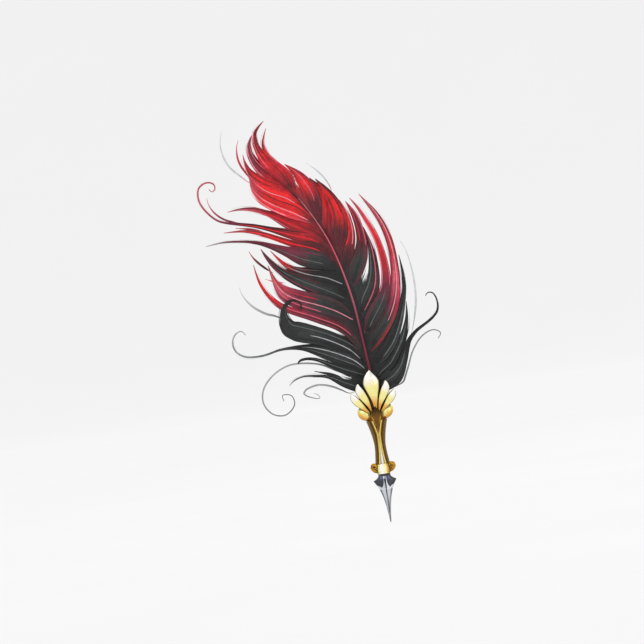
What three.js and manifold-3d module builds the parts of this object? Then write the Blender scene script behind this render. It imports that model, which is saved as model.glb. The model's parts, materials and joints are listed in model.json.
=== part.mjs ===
// Ornamental feather dip pen. A gilt holder with a split stem, a crown of petals, a scrolled
// collar and a slip-in nib carries a large dyed plume that lifts out of its bush.
// Millimetres, +Z up along the holder. The front faces -Y and the origin is at the grip's waist.
import * as THREE from 'three';
import { mergeVertices } from 'three/addons/utils/BufferGeometryUtils.js';
import Module from 'manifold-3d';

const wasm = await Module();
wasm.setup();

// ---- driving dimensions ----
const GAP = 0.3;
const ROUND_SIDES = 28;

const CALAMUS_RADIUS = 1.2;
const BUSH_HEIGHT = 9.4;
const BUSH_WALL = 0.45;
const NIB_TANG_RADIUS = 1.2;
const NIB_TANG_LENGTH = 12;
const CLIP_WALL = 0.4;
const CLIP_HEIGHT = 9;
const CLIP_SLOT = 0.9;

const SOCKET_FIT = 0.35;
const CORE_WALL = 0.5;
const BUSH_BORE = CALAMUS_RADIUS + GAP;
const CLIP_BORE = NIB_TANG_RADIUS + GAP;
const CORE_BORE = Math.max(BUSH_BORE + BUSH_WALL, CLIP_BORE + CLIP_WALL) + SOCKET_FIT;
const CORE_RADIUS = CORE_BORE + CORE_WALL;

const STEM_TOP = 14;
const STEM_BOTTOM = -16.6;
const STEM_BORE = CORE_RADIUS + GAP;
const STEM_WAIST_WALL = 0.85;
const STEM_FLARE = 3.55;
const STEM_FOOT_FLARE = 1.25;
const STEM_WAIST_Z = -4;
const WINDOW_NECK = 4;
const WINDOW_MOUTH = 2.85;

const COLLAR_TOP = STEM_BOTTOM - GAP;
const COLLAR_HEIGHT = 6.6;
const COLLAR_BOTTOM = COLLAR_TOP - COLLAR_HEIGHT;
const COLLAR_WALL = 1.4;
const COLLAR_RADIUS = STEM_BORE + COLLAR_WALL;
const COLLAR_BEAD = 0.35;
const SCROLL_RADIUS = 2.5;
const SCROLL_DEPTH = 5;
const SCROLL_DROP = 1.2;

const CUP_BOTTOM = STEM_TOP + 0.4;
const CUP_HEIGHT = 4.3;
const CUP_TOP = CUP_BOTTOM + CUP_HEIGHT;
const CUP_WALL = 3.1;
const CUP_RADIUS = STEM_BORE + CUP_WALL;
const CORE_TOP = CUP_TOP + 5.3;
const CORE_BOTTOM = COLLAR_BOTTOM + GAP;
const PETAL_WALL = 0.7;
const PETAL_ROOT_DEPTH = 4.6;
const TONGUE_WALL = 0.8;
const TONGUE_RADIUS = PETAL_ROOT_DEPTH + 3;
const TONGUE_BLEND = 4;
const CROWN_BULGE = 4.9;
const CROWN_SIDE_DEPTH = 2.9;
const CROWN_HALF_WIDTH = 18;
const CROWN_FULL_HEIGHT = 22;
const LOBE_SIZE = [2.9, 4.6, 3.9];

const NIB_TOP = COLLAR_BOTTOM - GAP;
const NIB_SHANK = 10.4;
const NIB_BLADE = 23.3;
const NIB_SPLIT = NIB_TOP - NIB_SHANK;
const NIB_SHEET = 0.8;
const SLIT_WIDTH = 0.3;
const SLIT_START = 3.2;

const VANE_BASE = CUP_TOP + 15.3;
const PLUME_HEIGHT = 199.3;
const PLUME_REACH = 102.6;
const DRAWN_BASE = 34;
const DRAWN_HEIGHT = 199.3;
const DRAWN_REACH = 102.6;
const LOCK_SHEET = 0.5;
const LOCK_PITCH = 0.9;
const LOCK_LAYERS = 4;
const LOCK_ROOT_HALF_WIDTH = 1.8;
const BOW_BACK = 18;
const BOW_START = VANE_BASE + 16;
const SIDE_CUP = 5;
const SIDE_CUP_AT = 60;
const WISP_DEPTH = 2.5;

// ---- finishes ----
function finish(colour, roughness, metalness) {
  return new THREE.MeshStandardMaterial({
    color: colour,
    roughness,
    metalness,
    side: THREE.DoubleSide,
  });
}

const GILT = 0xb8862f;
const PALE_GILT = 0xf2df9a;
const BRASS = 0xc99a3c;
const STEEL = 0xb9bec6;
const BLUED_STEEL = 0x50525c;
const AMBER_RESIN = 0x8a5a22;
const QUILL = 0x8a4a58;
const DYES = {
  scarlet: 0xd0242c,
  plum: 0x7c2a44,
  charcoal: 0x33363a,
  ink: 0x191a1c,
  ash: 0xa7a7aa,
};

// ---- shared shapes ----

/** Turns a closed geometry into a solid that can be cut and joined. */
function solidOf(geometry) {
  const bare = geometry.clone();
  bare.deleteAttribute('normal');
  bare.deleteAttribute('uv');
  const merged = mergeVertices(bare, 1e-4);
  return new wasm.Manifold(new wasm.Mesh({
    numProp: 3,
    vertProperties: new Float32Array(merged.attributes.position.array),
    triVerts: new Uint32Array(merged.index.array),
  }));
}

/** Turns a cut or joined solid back into a geometry. */
function geometryOf(solid) {
  const mesh = solid.getMesh();
  const geometry = new THREE.BufferGeometry();
  geometry.setAttribute('position', new THREE.BufferAttribute(mesh.vertProperties, 3));
  geometry.setIndex(new THREE.BufferAttribute(mesh.triVerts, 1));
  geometry.computeVertexNormals();
  return geometry;
}

/** A ring turned about Z from [radius, height] corners that close on themselves. */
function turned(corners, sides = ROUND_SIDES) {
  const profile = [...corners, corners[0]].map(([radius, height]) => new THREE.Vector2(radius, height));
  return new THREE.LatheGeometry(profile, sides).rotateX(Math.PI / 2);
}

/** A plain tube about Z. */
function sleeve(outer, inner, bottom, top, sides = ROUND_SIDES) {
  return turned([[inner, bottom], [outer, bottom], [outer, top], [inner, top]], sides);
}

/** A smooth curve in the XZ plane through [x, z, size] points, which carries the size in y. */
function flowLine(points) {
  const stations = points.map(([x, z, size]) => new THREE.Vector3(x, size, z));
  return new THREE.CatmullRomCurve3(stations, false, 'centripetal');
}

/** Position, direction and size of a flow line at a share of its run. */
function stationAt(line, share) {
  const point = line.getPoint(share);
  const heading = line.getTangent(share).setY(0).normalize();
  return { x: point.x, z: point.z, size: Math.max(point.y, 0.15), heading };
}

/**
 * A thin sheet that follows a flow line: its half width is the line's size, it lies on the
 * surface y = depthAt(x, z), and its thickness is measured along y.
 */
function sheetAlong(points, stepsPerSpan, sheet, depthAt) {
  const line = flowLine(points);
  const steps = (points.length - 1) * stepsPerSpan;
  const geometry = new THREE.BoxGeometry(2, 1, 1, 2, 1, steps);
  const position = geometry.attributes.position;
  for (let i = 0; i < position.count; i += 1) {
    const station = stationAt(line, THREE.MathUtils.clamp(position.getZ(i) + 0.5, 0, 1));
    const offset = position.getX(i) * station.size;
    const x = station.x + station.heading.z * offset;
    const z = station.z - station.heading.x * offset;
    position.setXYZ(i, x, depthAt(x, z) + position.getY(i) * sheet, z);
  }
  geometry.computeVertexNormals();
  return geometry;
}

/** A tapered rod that follows a flow line, whose size is the rod's radius. */
function rodAlong(points, stepsPerSpan, sides, depthAt) {
  const line = flowLine(points);
  const steps = (points.length - 1) * stepsPerSpan;
  const geometry = new THREE.CylinderGeometry(1, 1, 1, sides, steps);
  const position = geometry.attributes.position;
  for (let i = 0; i < position.count; i += 1) {
    const station = stationAt(line, THREE.MathUtils.clamp(position.getY(i) + 0.5, 0, 1));
    const offset = position.getX(i) * station.size;
    const depth = depthAt(station.x, station.z) + position.getZ(i) * station.size;
    position.setXYZ(i, station.x - station.heading.z * offset, depth, station.z + station.heading.x * offset);
  }
  geometry.computeVertexNormals();
  return geometry;
}

const pen = new THREE.Group();

function place(name, geometry, material) {
  const mesh = new THREE.Mesh(geometry, material);
  mesh.name = name;
  pen.add(mesh);
  return mesh;
}

// ---- stem ----

/** Outer radius of the stem, narrowest at the waist and flared to the crown and the collar. */
function stemRadius(z) {
  const waist = STEM_BORE + STEM_WAIST_WALL;
  const up = Math.max(z - STEM_WAIST_Z, 0) / (STEM_TOP - STEM_WAIST_Z);
  const down = Math.max(STEM_WAIST_Z - z, 0) / (STEM_WAIST_Z - STEM_BOTTOM);
  return waist + STEM_FLARE * up ** 1.6 + STEM_FOOT_FLARE * down ** 1.5;
}

function stemProfile(allowance) {
  const count = 9;
  const corners = [];
  for (let i = 0; i <= count; i += 1) {
    const z = THREE.MathUtils.lerp(STEM_BOTTOM, STEM_TOP, i / count);
    corners.push([stemRadius(z) + allowance, z]);
  }
  return corners;
}

/** The hourglass window that parts the stem's two halves, front and back, as [half width, z]. */
const WINDOW_EDGE = [
  [2, STEM_BOTTOM - 1],
  [1.1, WINDOW_NECK - 14],
  [0.75, WINDOW_NECK - 9],
  [0.45, WINDOW_NECK],
  [0.55 * WINDOW_MOUTH, WINDOW_NECK + 0.55 * (STEM_TOP - WINDOW_NECK)],
  [1.1 * WINDOW_MOUTH, STEM_TOP + 1],
];

function stemWindow() {
  const outline = new THREE.Shape();
  outline.moveTo(...WINDOW_EDGE[0]);
  WINDOW_EDGE.slice(1).forEach((corner) => outline.lineTo(...corner));
  [...WINDOW_EDGE].reverse().forEach(([half, z]) => outline.lineTo(-half, z));
  const depth = 4 * COLLAR_RADIUS;
  const prism = new THREE.ExtrudeGeometry(outline, { depth, bevelEnabled: false, steps: 1 });
  return prism.rotateX(Math.PI / 2).translate(0, depth / 2, 0);
}

function addStem() {
  const whole = turned([[STEM_BORE, STEM_BOTTOM], ...stemProfile(0), [STEM_BORE, STEM_TOP]]);
  const parted = solidOf(whole).subtract(solidOf(stemWindow()));
  const reach = 40;
  const half = new THREE.BoxGeometry(reach, reach, 2 * reach);
  for (const [name, side] of [['stem_shell_left', -1], ['stem_shell_right', 1]]) {
    const keep = solidOf(half.clone().translate(side * reach / 2, 0, 0));
    place(name, geometryOf(parted.intersect(keep)), finish(GILT, 0.3, 1));
  }
  place('core_tube', sleeve(CORE_RADIUS, CORE_BORE, CORE_BOTTOM, CORE_TOP), finish(BRASS, 0.25, 1));
}

// ---- collar with its scrolls ----

function addCollar() {
  const belly = COLLAR_RADIUS + COLLAR_BEAD;
  const middle = (COLLAR_TOP + COLLAR_BOTTOM) / 2;
  const ring = turned([
    [STEM_BORE, COLLAR_BOTTOM],
    [COLLAR_RADIUS, COLLAR_BOTTOM],
    [belly, middle],
    [COLLAR_RADIUS, COLLAR_TOP],
    [STEM_BORE, COLLAR_TOP],
  ]);
  place('collar_ring', ring, finish(PALE_GILT, 0.25, 1));

  const seat = [
    [belly + GAP, COLLAR_BOTTOM - 1],
    [belly + GAP, COLLAR_TOP],
    ...stemProfile(GAP),
  ];
  const envelope = turned([[0.5, COLLAR_BOTTOM - 1], ...seat, [0.5, STEM_TOP]]);
  for (const [name, side] of [['scroll_left', -1], ['scroll_right', 1]]) {
    const scroll = solidOf(scrollBlank(side)).subtract(solidOf(envelope));
    place(name, geometryOf(scroll), finish(GILT, 0.3, 1));
  }
}

/** A comma-shaped knob: a round head and a tail that runs down to the collar's foot. */
function scrollBlank(side) {
  const x = COLLAR_RADIUS + 1.7;
  const z = COLLAR_TOP - SCROLL_DROP;
  const outline = new THREE.Shape();
  outline.moveTo(COLLAR_RADIUS - 1, COLLAR_BOTTOM + 0.6);
  outline.quadraticCurveTo(x + 1.5, COLLAR_BOTTOM + 0.9, x + SCROLL_RADIUS * 0.92, z - 1);
  outline.absarc(x, z, SCROLL_RADIUS, -0.4, 2.3, false);
  outline.lineTo(COLLAR_RADIUS - 1, z + 1.5);
  const bevel = 0.7;
  const blank = new THREE.ExtrudeGeometry(outline, {
    depth: SCROLL_DEPTH - 2 * bevel,
    curveSegments: 10,
    bevelThickness: bevel,
    bevelSize: bevel,
    bevelOffset: -bevel,
    bevelSegments: 1,
  });
  blank.rotateX(Math.PI / 2).translate(0, SCROLL_DEPTH / 2 - bevel, 0);
  return side > 0 ? blank : blank.rotateZ(Math.PI);
}

// ---- crown of petals ----

/** Depth of the crown's wall in front of the vane, for one side: -1 is the front, 1 the back. */
function crownDepth(side) {
  return (x, z) => {
    const rise = (z - CUP_TOP) / CROWN_FULL_HEIGHT;
    const middle = PETAL_ROOT_DEPTH + CROWN_BULGE * Math.sin(rise * Math.PI / 2);
    const across = 1 - (x / CROWN_HALF_WIDTH) ** 2;
    return side * (CROWN_SIDE_DEPTH + (middle - CROWN_SIDE_DEPTH) * across);
  };
}

/** Depth of the tongue that closes the stem's window and covers the petals' roots. */
function tongueDepth(side) {
  return (x, z) => {
    const onStem = stemRadius(Math.min(z, STEM_TOP)) - TONGUE_WALL / 2;
    const above = THREE.MathUtils.clamp((z - STEM_TOP) / TONGUE_BLEND, 0, 1);
    const radius = THREE.MathUtils.lerp(onStem, Math.max(TONGUE_RADIUS, onStem), above);
    return side * Math.sqrt(radius ** 2 - x ** 2);
  };
}

/** The petals on the right of the crown, as [x, height above the cup, half width]. */
const PETALS = {
  petal_centre: [
    [0.4, 0.9, 0.8], [0.5, 5.3, 1.2], [0.5, 9.6, 2.2], [0.2, 14, 3.6],
    [-0.1, 18.3, 5.1], [-0.5, 22.3, 5.8], [-0.8, 26.3, 4.2], [-0.6, 30.8, 0.3],
  ],
  petal_inner: [
    [2.2, 1.1, 0.5], [3.6, 5.3, 1], [5.5, 9.8, 2.2],
    [7.8, 14.2, 2.9], [9.6, 18.3, 2.6], [9.8, 22.1, 0.4],
  ],
  petal_outer: [
    [4.1, 0.8, 0.6], [6.4, 3.4, 1.1], [9, 6.4, 1.9],
    [11.8, 9.6, 2.6], [14.1, 12.7, 2.1], [15.3, 15.4, 0.4],
  ],
};

function mirrored(points) {
  return points.map(([x, z, size]) => [-x, z, size]);
}

function aboveCup(points) {
  return points.map(([x, z, size]) => [x, CUP_TOP + z, size]);
}

/** The tongue fills the top of the stem's window, widens over the petals' roots and ends in a point. */
function tongueLine() {
  const mouth = WINDOW_MOUTH - GAP;
  return [
    [0, WINDOW_NECK + 2, 0.2],
    [0, (WINDOW_NECK + STEM_TOP) / 2 + 1, 0.43 * mouth],
    [0, STEM_TOP, mouth],
    [0, STEM_TOP + TONGUE_BLEND, mouth + 0.9],
    [0, CUP_TOP + 2.3, mouth],
    [0, CUP_TOP + 4.8, 0.2],
  ];
}

function addCrown() {
  const cup = turned([
    [STEM_BORE, CUP_BOTTOM],
    [CUP_RADIUS, CUP_BOTTOM],
    [CUP_RADIUS - 0.2, CUP_TOP - 1.2],
    [CUP_RADIUS - 1, CUP_TOP],
    [STEM_BORE, CUP_TOP],
  ]);
  place('crown_cup', cup, finish(GILT, 0.35, 1));

  const lobeX = CUP_RADIUS + GAP + LOBE_SIZE[0];
  for (const [name, side] of [['lobe_left', -1], ['lobe_right', 1]]) {
    const lobe = new THREE.SphereGeometry(1, 16, 10).scale(...LOBE_SIZE);
    place(name, lobe, finish(GILT, 0.3, 1)).position.set(side * lobeX, 0, CUP_BOTTOM + LOBE_SIZE[2] + 0.3);
  }

  for (const [face, side] of [['front', -1], ['back', 1]]) {
    const depth = crownDepth(side);
    const petal = (name, points) => {
      const leaf = sheetAlong(aboveCup(points), 2, PETAL_WALL, depth);
      place(`${name}_${face}`, leaf, finish(PALE_GILT, 0.3, 1));
    };
    petal('petal_centre', PETALS.petal_centre);
    petal('petal_inner_left', mirrored(PETALS.petal_inner));
    petal('petal_inner_right', PETALS.petal_inner);
    petal('petal_outer_left', mirrored(PETALS.petal_outer));
    petal('petal_outer_right', PETALS.petal_outer);
    const skin = sheetAlong(tongueLine(), 2, TONGUE_WALL, tongueDepth(side));
    place(`crown_tongue_${face}`, skin, finish(GILT, 0.4, 1));
  }
}

// ---- bush for the quill and spring clip for the nib, both inside the core tube ----

function addSockets() {
  const bushTop = CORE_TOP - GAP;
  const bush = sleeve(BUSH_BORE + BUSH_WALL, BUSH_BORE, bushTop - BUSH_HEIGHT, bushTop, 20);
  place('calamus_bush', bush, finish(AMBER_RESIN, 0.5, 0));

  const clipTop = CORE_BOTTOM + CLIP_HEIGHT + 1;
  const ring = solidOf(sleeve(CLIP_BORE + CLIP_WALL, CLIP_BORE, clipTop - CLIP_HEIGHT, clipTop, 20));
  const slot = new THREE.BoxGeometry(CLIP_SLOT, 2 * CORE_BORE, 2 * CLIP_HEIGHT);
  slot.translate(0, CORE_BORE, clipTop - CLIP_HEIGHT / 2);
  place('nib_clip', geometryOf(ring.subtract(solidOf(slot))), finish(STEEL, 0.3, 1));
}

// ---- nib ----

/** The nib's half width down its neck and barbed shoulders, as [depth under the collar, half width]. */
const NIB_NECK = [[0, 4.2], [1.8, 4.4], [3.2, 6], [4.4, 8.2], [7.2, 6.4], [NIB_SHANK, 4.7]];

/** The blade's half width as it runs out to the point, as [share of the blade's run, half width]. */
const NIB_TAPER = [[0, 4.6], [0.24, 2.8], [0.5, 1.6], [0.76, 0.9], [1, 0.4]];

/** The nib's sheet is arched: proud in the middle, flat at the shoulders and at the point. */
function nibDepth(x, z) {
  const run = THREE.MathUtils.clamp((NIB_TOP - z) / (NIB_SHANK + GAP + NIB_BLADE), 0, 1);
  const arch = 0.5 + 5.4 * Math.sqrt(run) * (1 - run) ** 1.3;
  return -arch * Math.exp(-((x / 4.2) ** 2));
}

/** One side of the nib between two heights, from the slit to the outline, as straight spans. */
function nibPanel(rows, inner, side) {
  const geometry = new THREE.BoxGeometry(2, 1, rows.length - 1, 3, 1, rows.length - 1);
  const position = geometry.attributes.position;
  for (let i = 0; i < position.count; i += 1) {
    const row = Math.round(position.getZ(i) + (rows.length - 1) / 2);
    const [z, half] = rows[rows.length - 1 - row];
    const share = side * position.getX(i) * 0.5 + 0.5;
    const x = side * THREE.MathUtils.lerp(inner, half, share);
    position.setXYZ(i, x, nibDepth(x, z) + position.getY(i) * NIB_SHEET, z);
  }
  geometry.computeVertexNormals();
  return geometry;
}

function addNib() {
  const upper = NIB_NECK.map(([drop, half]) => [NIB_TOP - drop, half]);
  const lower = NIB_TAPER.map(([share, half]) => [NIB_SPLIT - GAP - share * NIB_BLADE, half]);

  const tang = new THREE.CylinderGeometry(NIB_TANG_RADIUS, NIB_TANG_RADIUS, NIB_TANG_LENGTH, 16);
  const tangFoot = NIB_TOP - 1.2;
  tang.rotateX(Math.PI / 2).translate(0, 0, tangFoot + NIB_TANG_LENGTH / 2);
  const slitTop = NIB_TOP - SLIT_START;
  const slit = new THREE.BoxGeometry(SLIT_WIDTH, 20, 2 * (slitTop - NIB_SPLIT));
  slit.translate(0, 0, NIB_SPLIT);
  const shank = solidOf(nibPanel(upper, 0, -1))
    .add(solidOf(nibPanel(upper, 0, 1)))
    .add(solidOf(tang))
    .subtract(solidOf(slit));
  place('nib_shank', geometryOf(shank), finish(BLUED_STEEL, 0.25, 1));

  for (const [name, side] of [['nib_tine_left', -1], ['nib_tine_right', 1]]) {
    place(name, nibPanel(lower, SLIT_WIDTH / 2, side), finish(STEEL, 0.2, 1));
  }
}

// ---- plume ----

/** The plume's points are drawn on a plume of the drawn size, then stretched to the real one. */
const TALL = PLUME_HEIGHT / DRAWN_HEIGHT;
const WIDE = PLUME_REACH / DRAWN_REACH;

function toPlume([x, z, size]) {
  const rise = z - DRAWN_BASE;
  return [x * WIDE, VANE_BASE + (rise > 0 ? rise * TALL : rise), size];
}

/** A lock is a flat sheet of barbs, so its half width is stretched with the plume's reach. */
function toLock([x, z, halfWidth]) {
  return toPlume([x, z, halfWidth * WIDE]);
}

const QUILL_LINE = [
  [0, 15, CALAMUS_RADIUS], [0, 26, CALAMUS_RADIUS], [0, 38, 1.4], [0, 50, 1.5], [-0.9, 60, 1.4],
  [-2.7, 80, 1.25], [-4.8, 99, 1.1], [-9, 120, 0.95], [-15, 141, 0.7], [-22, 157, 0.5],
  [-28.8, 169.5, 0.4], [-35, 180, 0.25],
].map(toPlume);

const quillCurve = flowLine(QUILL_LINE);

/** The quill's centre and radius at a height, found by halving the curve's run. */
function quillAt(height) {
  let low = 0;
  let high = 1;
  for (let i = 0; i < 24; i += 1) {
    const middle = (low + high) / 2;
    if (quillCurve.getPoint(middle).z < height) low = middle;
    else high = middle;
  }
  const point = quillCurve.getPoint(low);
  return { x: point.x, radius: point.y };
}

/** The plume bows back towards its tip, and its sides curl forward. */
function plumeDepth(x, z) {
  const rise = Math.max(z - BOW_START, 0) / (VANE_BASE + PLUME_HEIGHT - BOW_START);
  const lean = quillAt(z).x;
  return BOW_BACK * rise ** 2 - SIDE_CUP * ((x - lean) / SIDE_CUP_AT) ** 2;
}

/**
 * The locks of barbs in order round the plume: up the left, over the tip and down the right.
 * Each has a dye, the height where it leaves the quill and [x, z, half width] along its run.
 */
const LOCKS = [
  ['barb_left_01', 'ink', -1, 36, [[-11, 39.2, 3.2], [-20, 43.7, 2.8], [-29, 48.6, 1.2], [-38, 50.6, 0.8],
    [-46.2, 51.4, 0.6], [-53, 49.6, 0.5], [-57, 46.5, 0.2]]],
  ['barb_left_02', 'ink', -1, 46, [[-9, 48.5, 3.6], [-18, 52.5, 3], [-27, 57.3, 1.7], [-36, 62, 1.2],
    [-43.5, 63.4, 1], [-48, 62.3, 0.8], [-49.2, 60.3, 0.2]]],
  ['barb_left_03', 'ink', -1, 51, [[-10, 56.8, 4.6], [-21, 63, 5.8], [-33, 68.3, 4.4], [-43, 71.3, 2.3],
    [-52, 72.3, 1.2], [-61, 72, 0.8], [-71.3, 69.9, 0.6], [-83.9, 70.4, 0.6], [-90.5, 75, 0.6],
    [-92, 81.6, 0.6], [-89.5, 87, 0.5], [-85, 88.8, 0.45], [-82.2, 85.5, 0.3]]],
  ['barb_left_04', 'ink', -1, 57, [[-10, 65, 5], [-20, 72, 5.5], [-32, 78, 6], [-43, 82, 7],
    [-51.5, 86.5, 6], [-53.9, 95, 3.1], [-53.3, 100, 2.2], [-49.2, 104.7, 1.2], [-44.8, 105, 0.8],
    [-41.2, 102, 0.7], [-41.7, 97.5, 0.2]]],
  ['barb_left_05', 'scarlet', -1, 66, [[-10, 75.5, 2.6], [-18, 83, 3], [-28, 88.5, 3], [-38, 93.5, 2.8],
    [-48, 98, 2.4], [-56, 103, 1.9], [-63, 111, 1.4], [-67.8, 121, 1], [-70.3, 133.5, 0.2]]],
  ['barb_left_06', 'plum', -1, 86, [[-17, 93.5, 7], [-31, 100.5, 7.4], [-43, 105.7, 6.6], [-52, 111.8, 4.8],
    [-57, 120, 2], [-60.3, 132, 0.2]]],
  ['barb_left_07', 'charcoal', -1, 100, [[-18, 106, 5], [-30, 112.5, 5], [-42, 119.5, 4.2],
    [-51, 126, 2.7], [-57, 132.5, 2], [-61.5, 139.5, 1], [-63.7, 144, 0.2]]],
  ['barb_left_08', 'charcoal', -1, 112, [[-20, 117.8, 5.6], [-33, 122, 4.8], [-42, 126.1, 2.3],
    [-49, 131.3, 1.5], [-57.3, 141.9, 0.2]]],
  ['barb_left_09', 'plum', -1, 123, [[-22, 129.5, 5.8], [-35, 134.6, 6.3], [-45, 139.3, 3.8],
    [-55, 144.3, 2.2], [-66, 148.7, 1.2], [-77, 151, 0.7], [-90, 152, 0.6], [-101.1, 150.8, 0.3]]],
  ['barb_left_10', 'scarlet', -1, 131, [[-26, 139, 4.6], [-40, 144.2, 2.6], [-50, 149, 2],
    [-62, 154.6, 1.7], [-74, 157.9, 1], [-87.9, 158.6, 0.2]]],
  ['barb_left_11', 'plum', -1, 139, [[-28, 146.8, 4.6], [-42, 151.8, 3.4], [-55, 156.8, 1.8], [-67, 161, 1.3],
    [-79.2, 164, 1], [-90, 167.3, 0.7], [-97, 174, 0.6], [-101.8, 183, 0.6], [-101, 192, 0.6],
    [-95.4, 195.4, 0.6], [-90.3, 193.8, 0.55], [-89.9, 190, 0.45], [-92.1, 188.4, 0.4],
    [-94, 190.6, 0.3]]],
  ['barb_left_12', 'scarlet', -1, 147, [[-33, 155.5, 5.6], [-45, 163, 4.8], [-55, 168, 2.2],
    [-66, 172.6, 1.5], [-76, 173.6, 0.8], [-83.4, 172.8, 0.2]]],
  ['barb_left_13', 'scarlet', -1, 158, [[-36, 166.5, 5.4], [-48, 173, 5.2], [-57, 179.5, 4.5],
    [-62.5, 186, 2.5], [-64.9, 193, 0.3]]],
  ['barb_left_14', 'scarlet', -1, 168, [[-42, 176.8, 5], [-53, 182.5, 4.4], [-61, 189.5, 2.5],
    [-66, 198, 0.3]]],
  ['barb_left_15', 'scarlet', -1, 174, [[-45, 184, 4.4], [-56, 190.5, 3.8], [-63.5, 198, 2.5],
    [-66.3, 205, 1], [-67.2, 211.8, 0.2]]],
  ['plume_tip_left', 'scarlet', 0, 0, [[-39, 182, 1], [-48, 191.3, 3.8], [-57, 201, 3.5],
    [-61.5, 210, 2.2], [-62, 218, 1.5], [-59.1, 224.5, 0.2]]],
  ['plume_tip_middle', 'scarlet', 0, 0, [[-37, 183, 1.2], [-41, 191, 3.5], [-50, 203, 4.5],
    [-56.5, 215, 2.2], [-56.5, 226, 1.4], [-49.5, 233.3, 0.2]]],
  ['plume_tip_right', 'scarlet', 0, 0, [[-33.8, 181.5, 1], [-37.6, 191.5, 3.7], [-45, 201, 3],
    [-50.5, 210, 1.8], [-52, 218, 1], [-48.5, 228, 0.2]]],
  ['barb_right_01', 'scarlet', 1, 158, [[-21.5, 167, 4.5], [-23, 177, 5.5], [-27, 186, 4.5],
    [-32, 194, 2.6], [-39, 201, 0.2]]],
  ['barb_right_02', 'scarlet', 1, 149, [[-16, 157, 4.6], [-14.5, 168, 4.6], [-16.5, 178, 3.2],
    [-23.1, 189.2, 0.2]]],
  ['barb_right_03', 'scarlet', 1, 136, [[-8, 145, 5.8], [-6.2, 156, 5.2], [-7.5, 166, 4.4],
    [-11, 175, 3], [-19, 187.6, 0.3]]],
  ['barb_right_04', 'scarlet', 1, 124, [[-4.5, 133.5, 5], [-0.8, 143, 3.8], [0.3, 151, 2.7],
    [-1, 160, 2], [-4.5, 170.8, 0.2]]],
  ['barb_right_05', 'plum', 1, 110, [[0, 119.5, 5.2], [5, 130, 4.9], [7, 140, 3.5], [6.5, 150, 2.7],
    [4, 160, 2], [-0.3, 169.2, 0.2]]],
  ['barb_right_06', 'charcoal', 1, 89, [[4.8, 98.5, 5.6], [10, 107.5, 5.2], [12.5, 117, 4], [13, 128, 2.7],
    [12.3, 138, 1.6], [9.7, 149.4, 0.2]]],
  ['barb_right_07', 'scarlet', 1, 75, [[7, 84.5, 5.2], [14, 94.5, 5], [19, 105, 3.8], [20.6, 117, 3],
    [19.7, 130, 2.5], [17, 142, 1.9], [12, 154, 1.6], [7, 164.5, 1], [2.7, 171.1, 0.2]]],
  ['barb_right_08', 'scarlet', 1, 63, [[8, 72.5, 5.2], [16.4, 82.5, 5], [22.4, 93.5, 4.4], [26.1, 106, 3.6],
    [27.4, 120, 2.7], [26.6, 134, 2.4], [23.5, 148, 2], [18, 160, 1.6], [9.6, 172.9, 0.2]]],
  ['barb_right_09', 'ink', 1, 52, [[9, 59, 5], [16.8, 67.5, 5], [23, 78.3, 4], [28.6, 91, 2.3],
    [32, 104, 1.4], [32.4, 115, 1], [31.5, 126.6, 0.2]]],
  ['barb_right_10', 'ink', 1, 42, [[8.5, 47, 4], [15, 51.5, 4.4], [22, 61, 3.6], [27.5, 71.5, 2.3],
    [31, 83, 1.1], [32.1, 93.6, 0.2]]],
  ['barb_right_11', 'ink', 1, 36, [[10, 39.5, 4], [17, 43, 4.4], [22.5, 49, 3.2], [26.5, 58, 2.4],
    [30.5, 66.5, 1.6], [37, 72.8, 1.1], [46, 78, 0.9], [52.4, 83.8, 0.8], [53.4, 91, 0.6],
    [51, 97, 0.5], [47.3, 97.4, 0.4], [45.9, 95.4, 0.3]]],
  ['barb_right_12', 'ink', 1, 32, [[8, 33.8, 1.3], [13.5, 36.2, 1.8], [18.5, 39.5, 2.3],
    [22.5, 45, 1.9], [25.5, 52, 1.2], [27.3, 60, 0.3]]],
];

/** Loose single barbs that curl away behind the vane, as [x, z, radius]. */
const WISPS = {
  wisp_left: [
    [-23.4, 52.2, 0.5], [-31.8, 57.3, 0.5], [-41.4, 60, 0.5], [-55, 60.6, 0.5], [-67, 55.4, 0.5],
    [-75.2, 46.4, 0.5], [-76.6, 36.5, 0.5], [-70.8, 28.1, 0.5], [-62.2, 26.6, 0.5],
    [-55.3, 32.9, 0.5], [-56.7, 39.4, 0.45], [-62.8, 40.3, 0.4], [-62.3, 36.1, 0.3],
  ],
  wisp_right: [
    [23, 39, 0.5], [27.2, 48, 0.5], [32, 58.8, 0.5], [39.8, 68.1, 0.5], [48.2, 71.3, 0.45],
    [52.8, 68.4, 0.4], [50.6, 64.8, 0.3],
  ],
};

function addPlume() {
  place('rachis', rodAlong(QUILL_LINE, 3, 8, plumeDepth), finish(QUILL, 0.5, 0));
  LOCKS.forEach(([name, dye, side, rootHeight, run], index) => {
    const points = run.map(toLock);
    if (side !== 0) {
      const [, rootZ] = toPlume([0, rootHeight, 0]);
      const quill = quillAt(rootZ);
      const clear = quill.radius + GAP + LOCK_ROOT_HALF_WIDTH;
      points.unshift([quill.x + side * clear, rootZ, LOCK_ROOT_HALF_WIDTH]);
    }
    const layer = (index % LOCK_LAYERS) - (LOCK_LAYERS - 1) / 2;
    const depth = (x, z) => plumeDepth(x, z) + layer * LOCK_PITCH;
    place(name, sheetAlong(points, 2, LOCK_SHEET, depth), finish(DYES[dye], 0.7, 0));
  });
  for (const [name, points] of Object.entries(WISPS)) {
    const depth = (x, z) => plumeDepth(x, z) + WISP_DEPTH;
    place(name, rodAlong(points.map(toPlume), 3, 5, depth), finish(DYES.ash, 0.7, 0));
  }
}

addStem();
addCollar();
addCrown();
addSockets();
addNib();
addPlume();

export default pen;
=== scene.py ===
"""An ornamental feather dip pen: a gilt holder with a crown of petals, a slip-in nib and a
large dyed plume. Metres, +Z up along the holder, front to -Y, origin at the grip's waist."""

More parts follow.
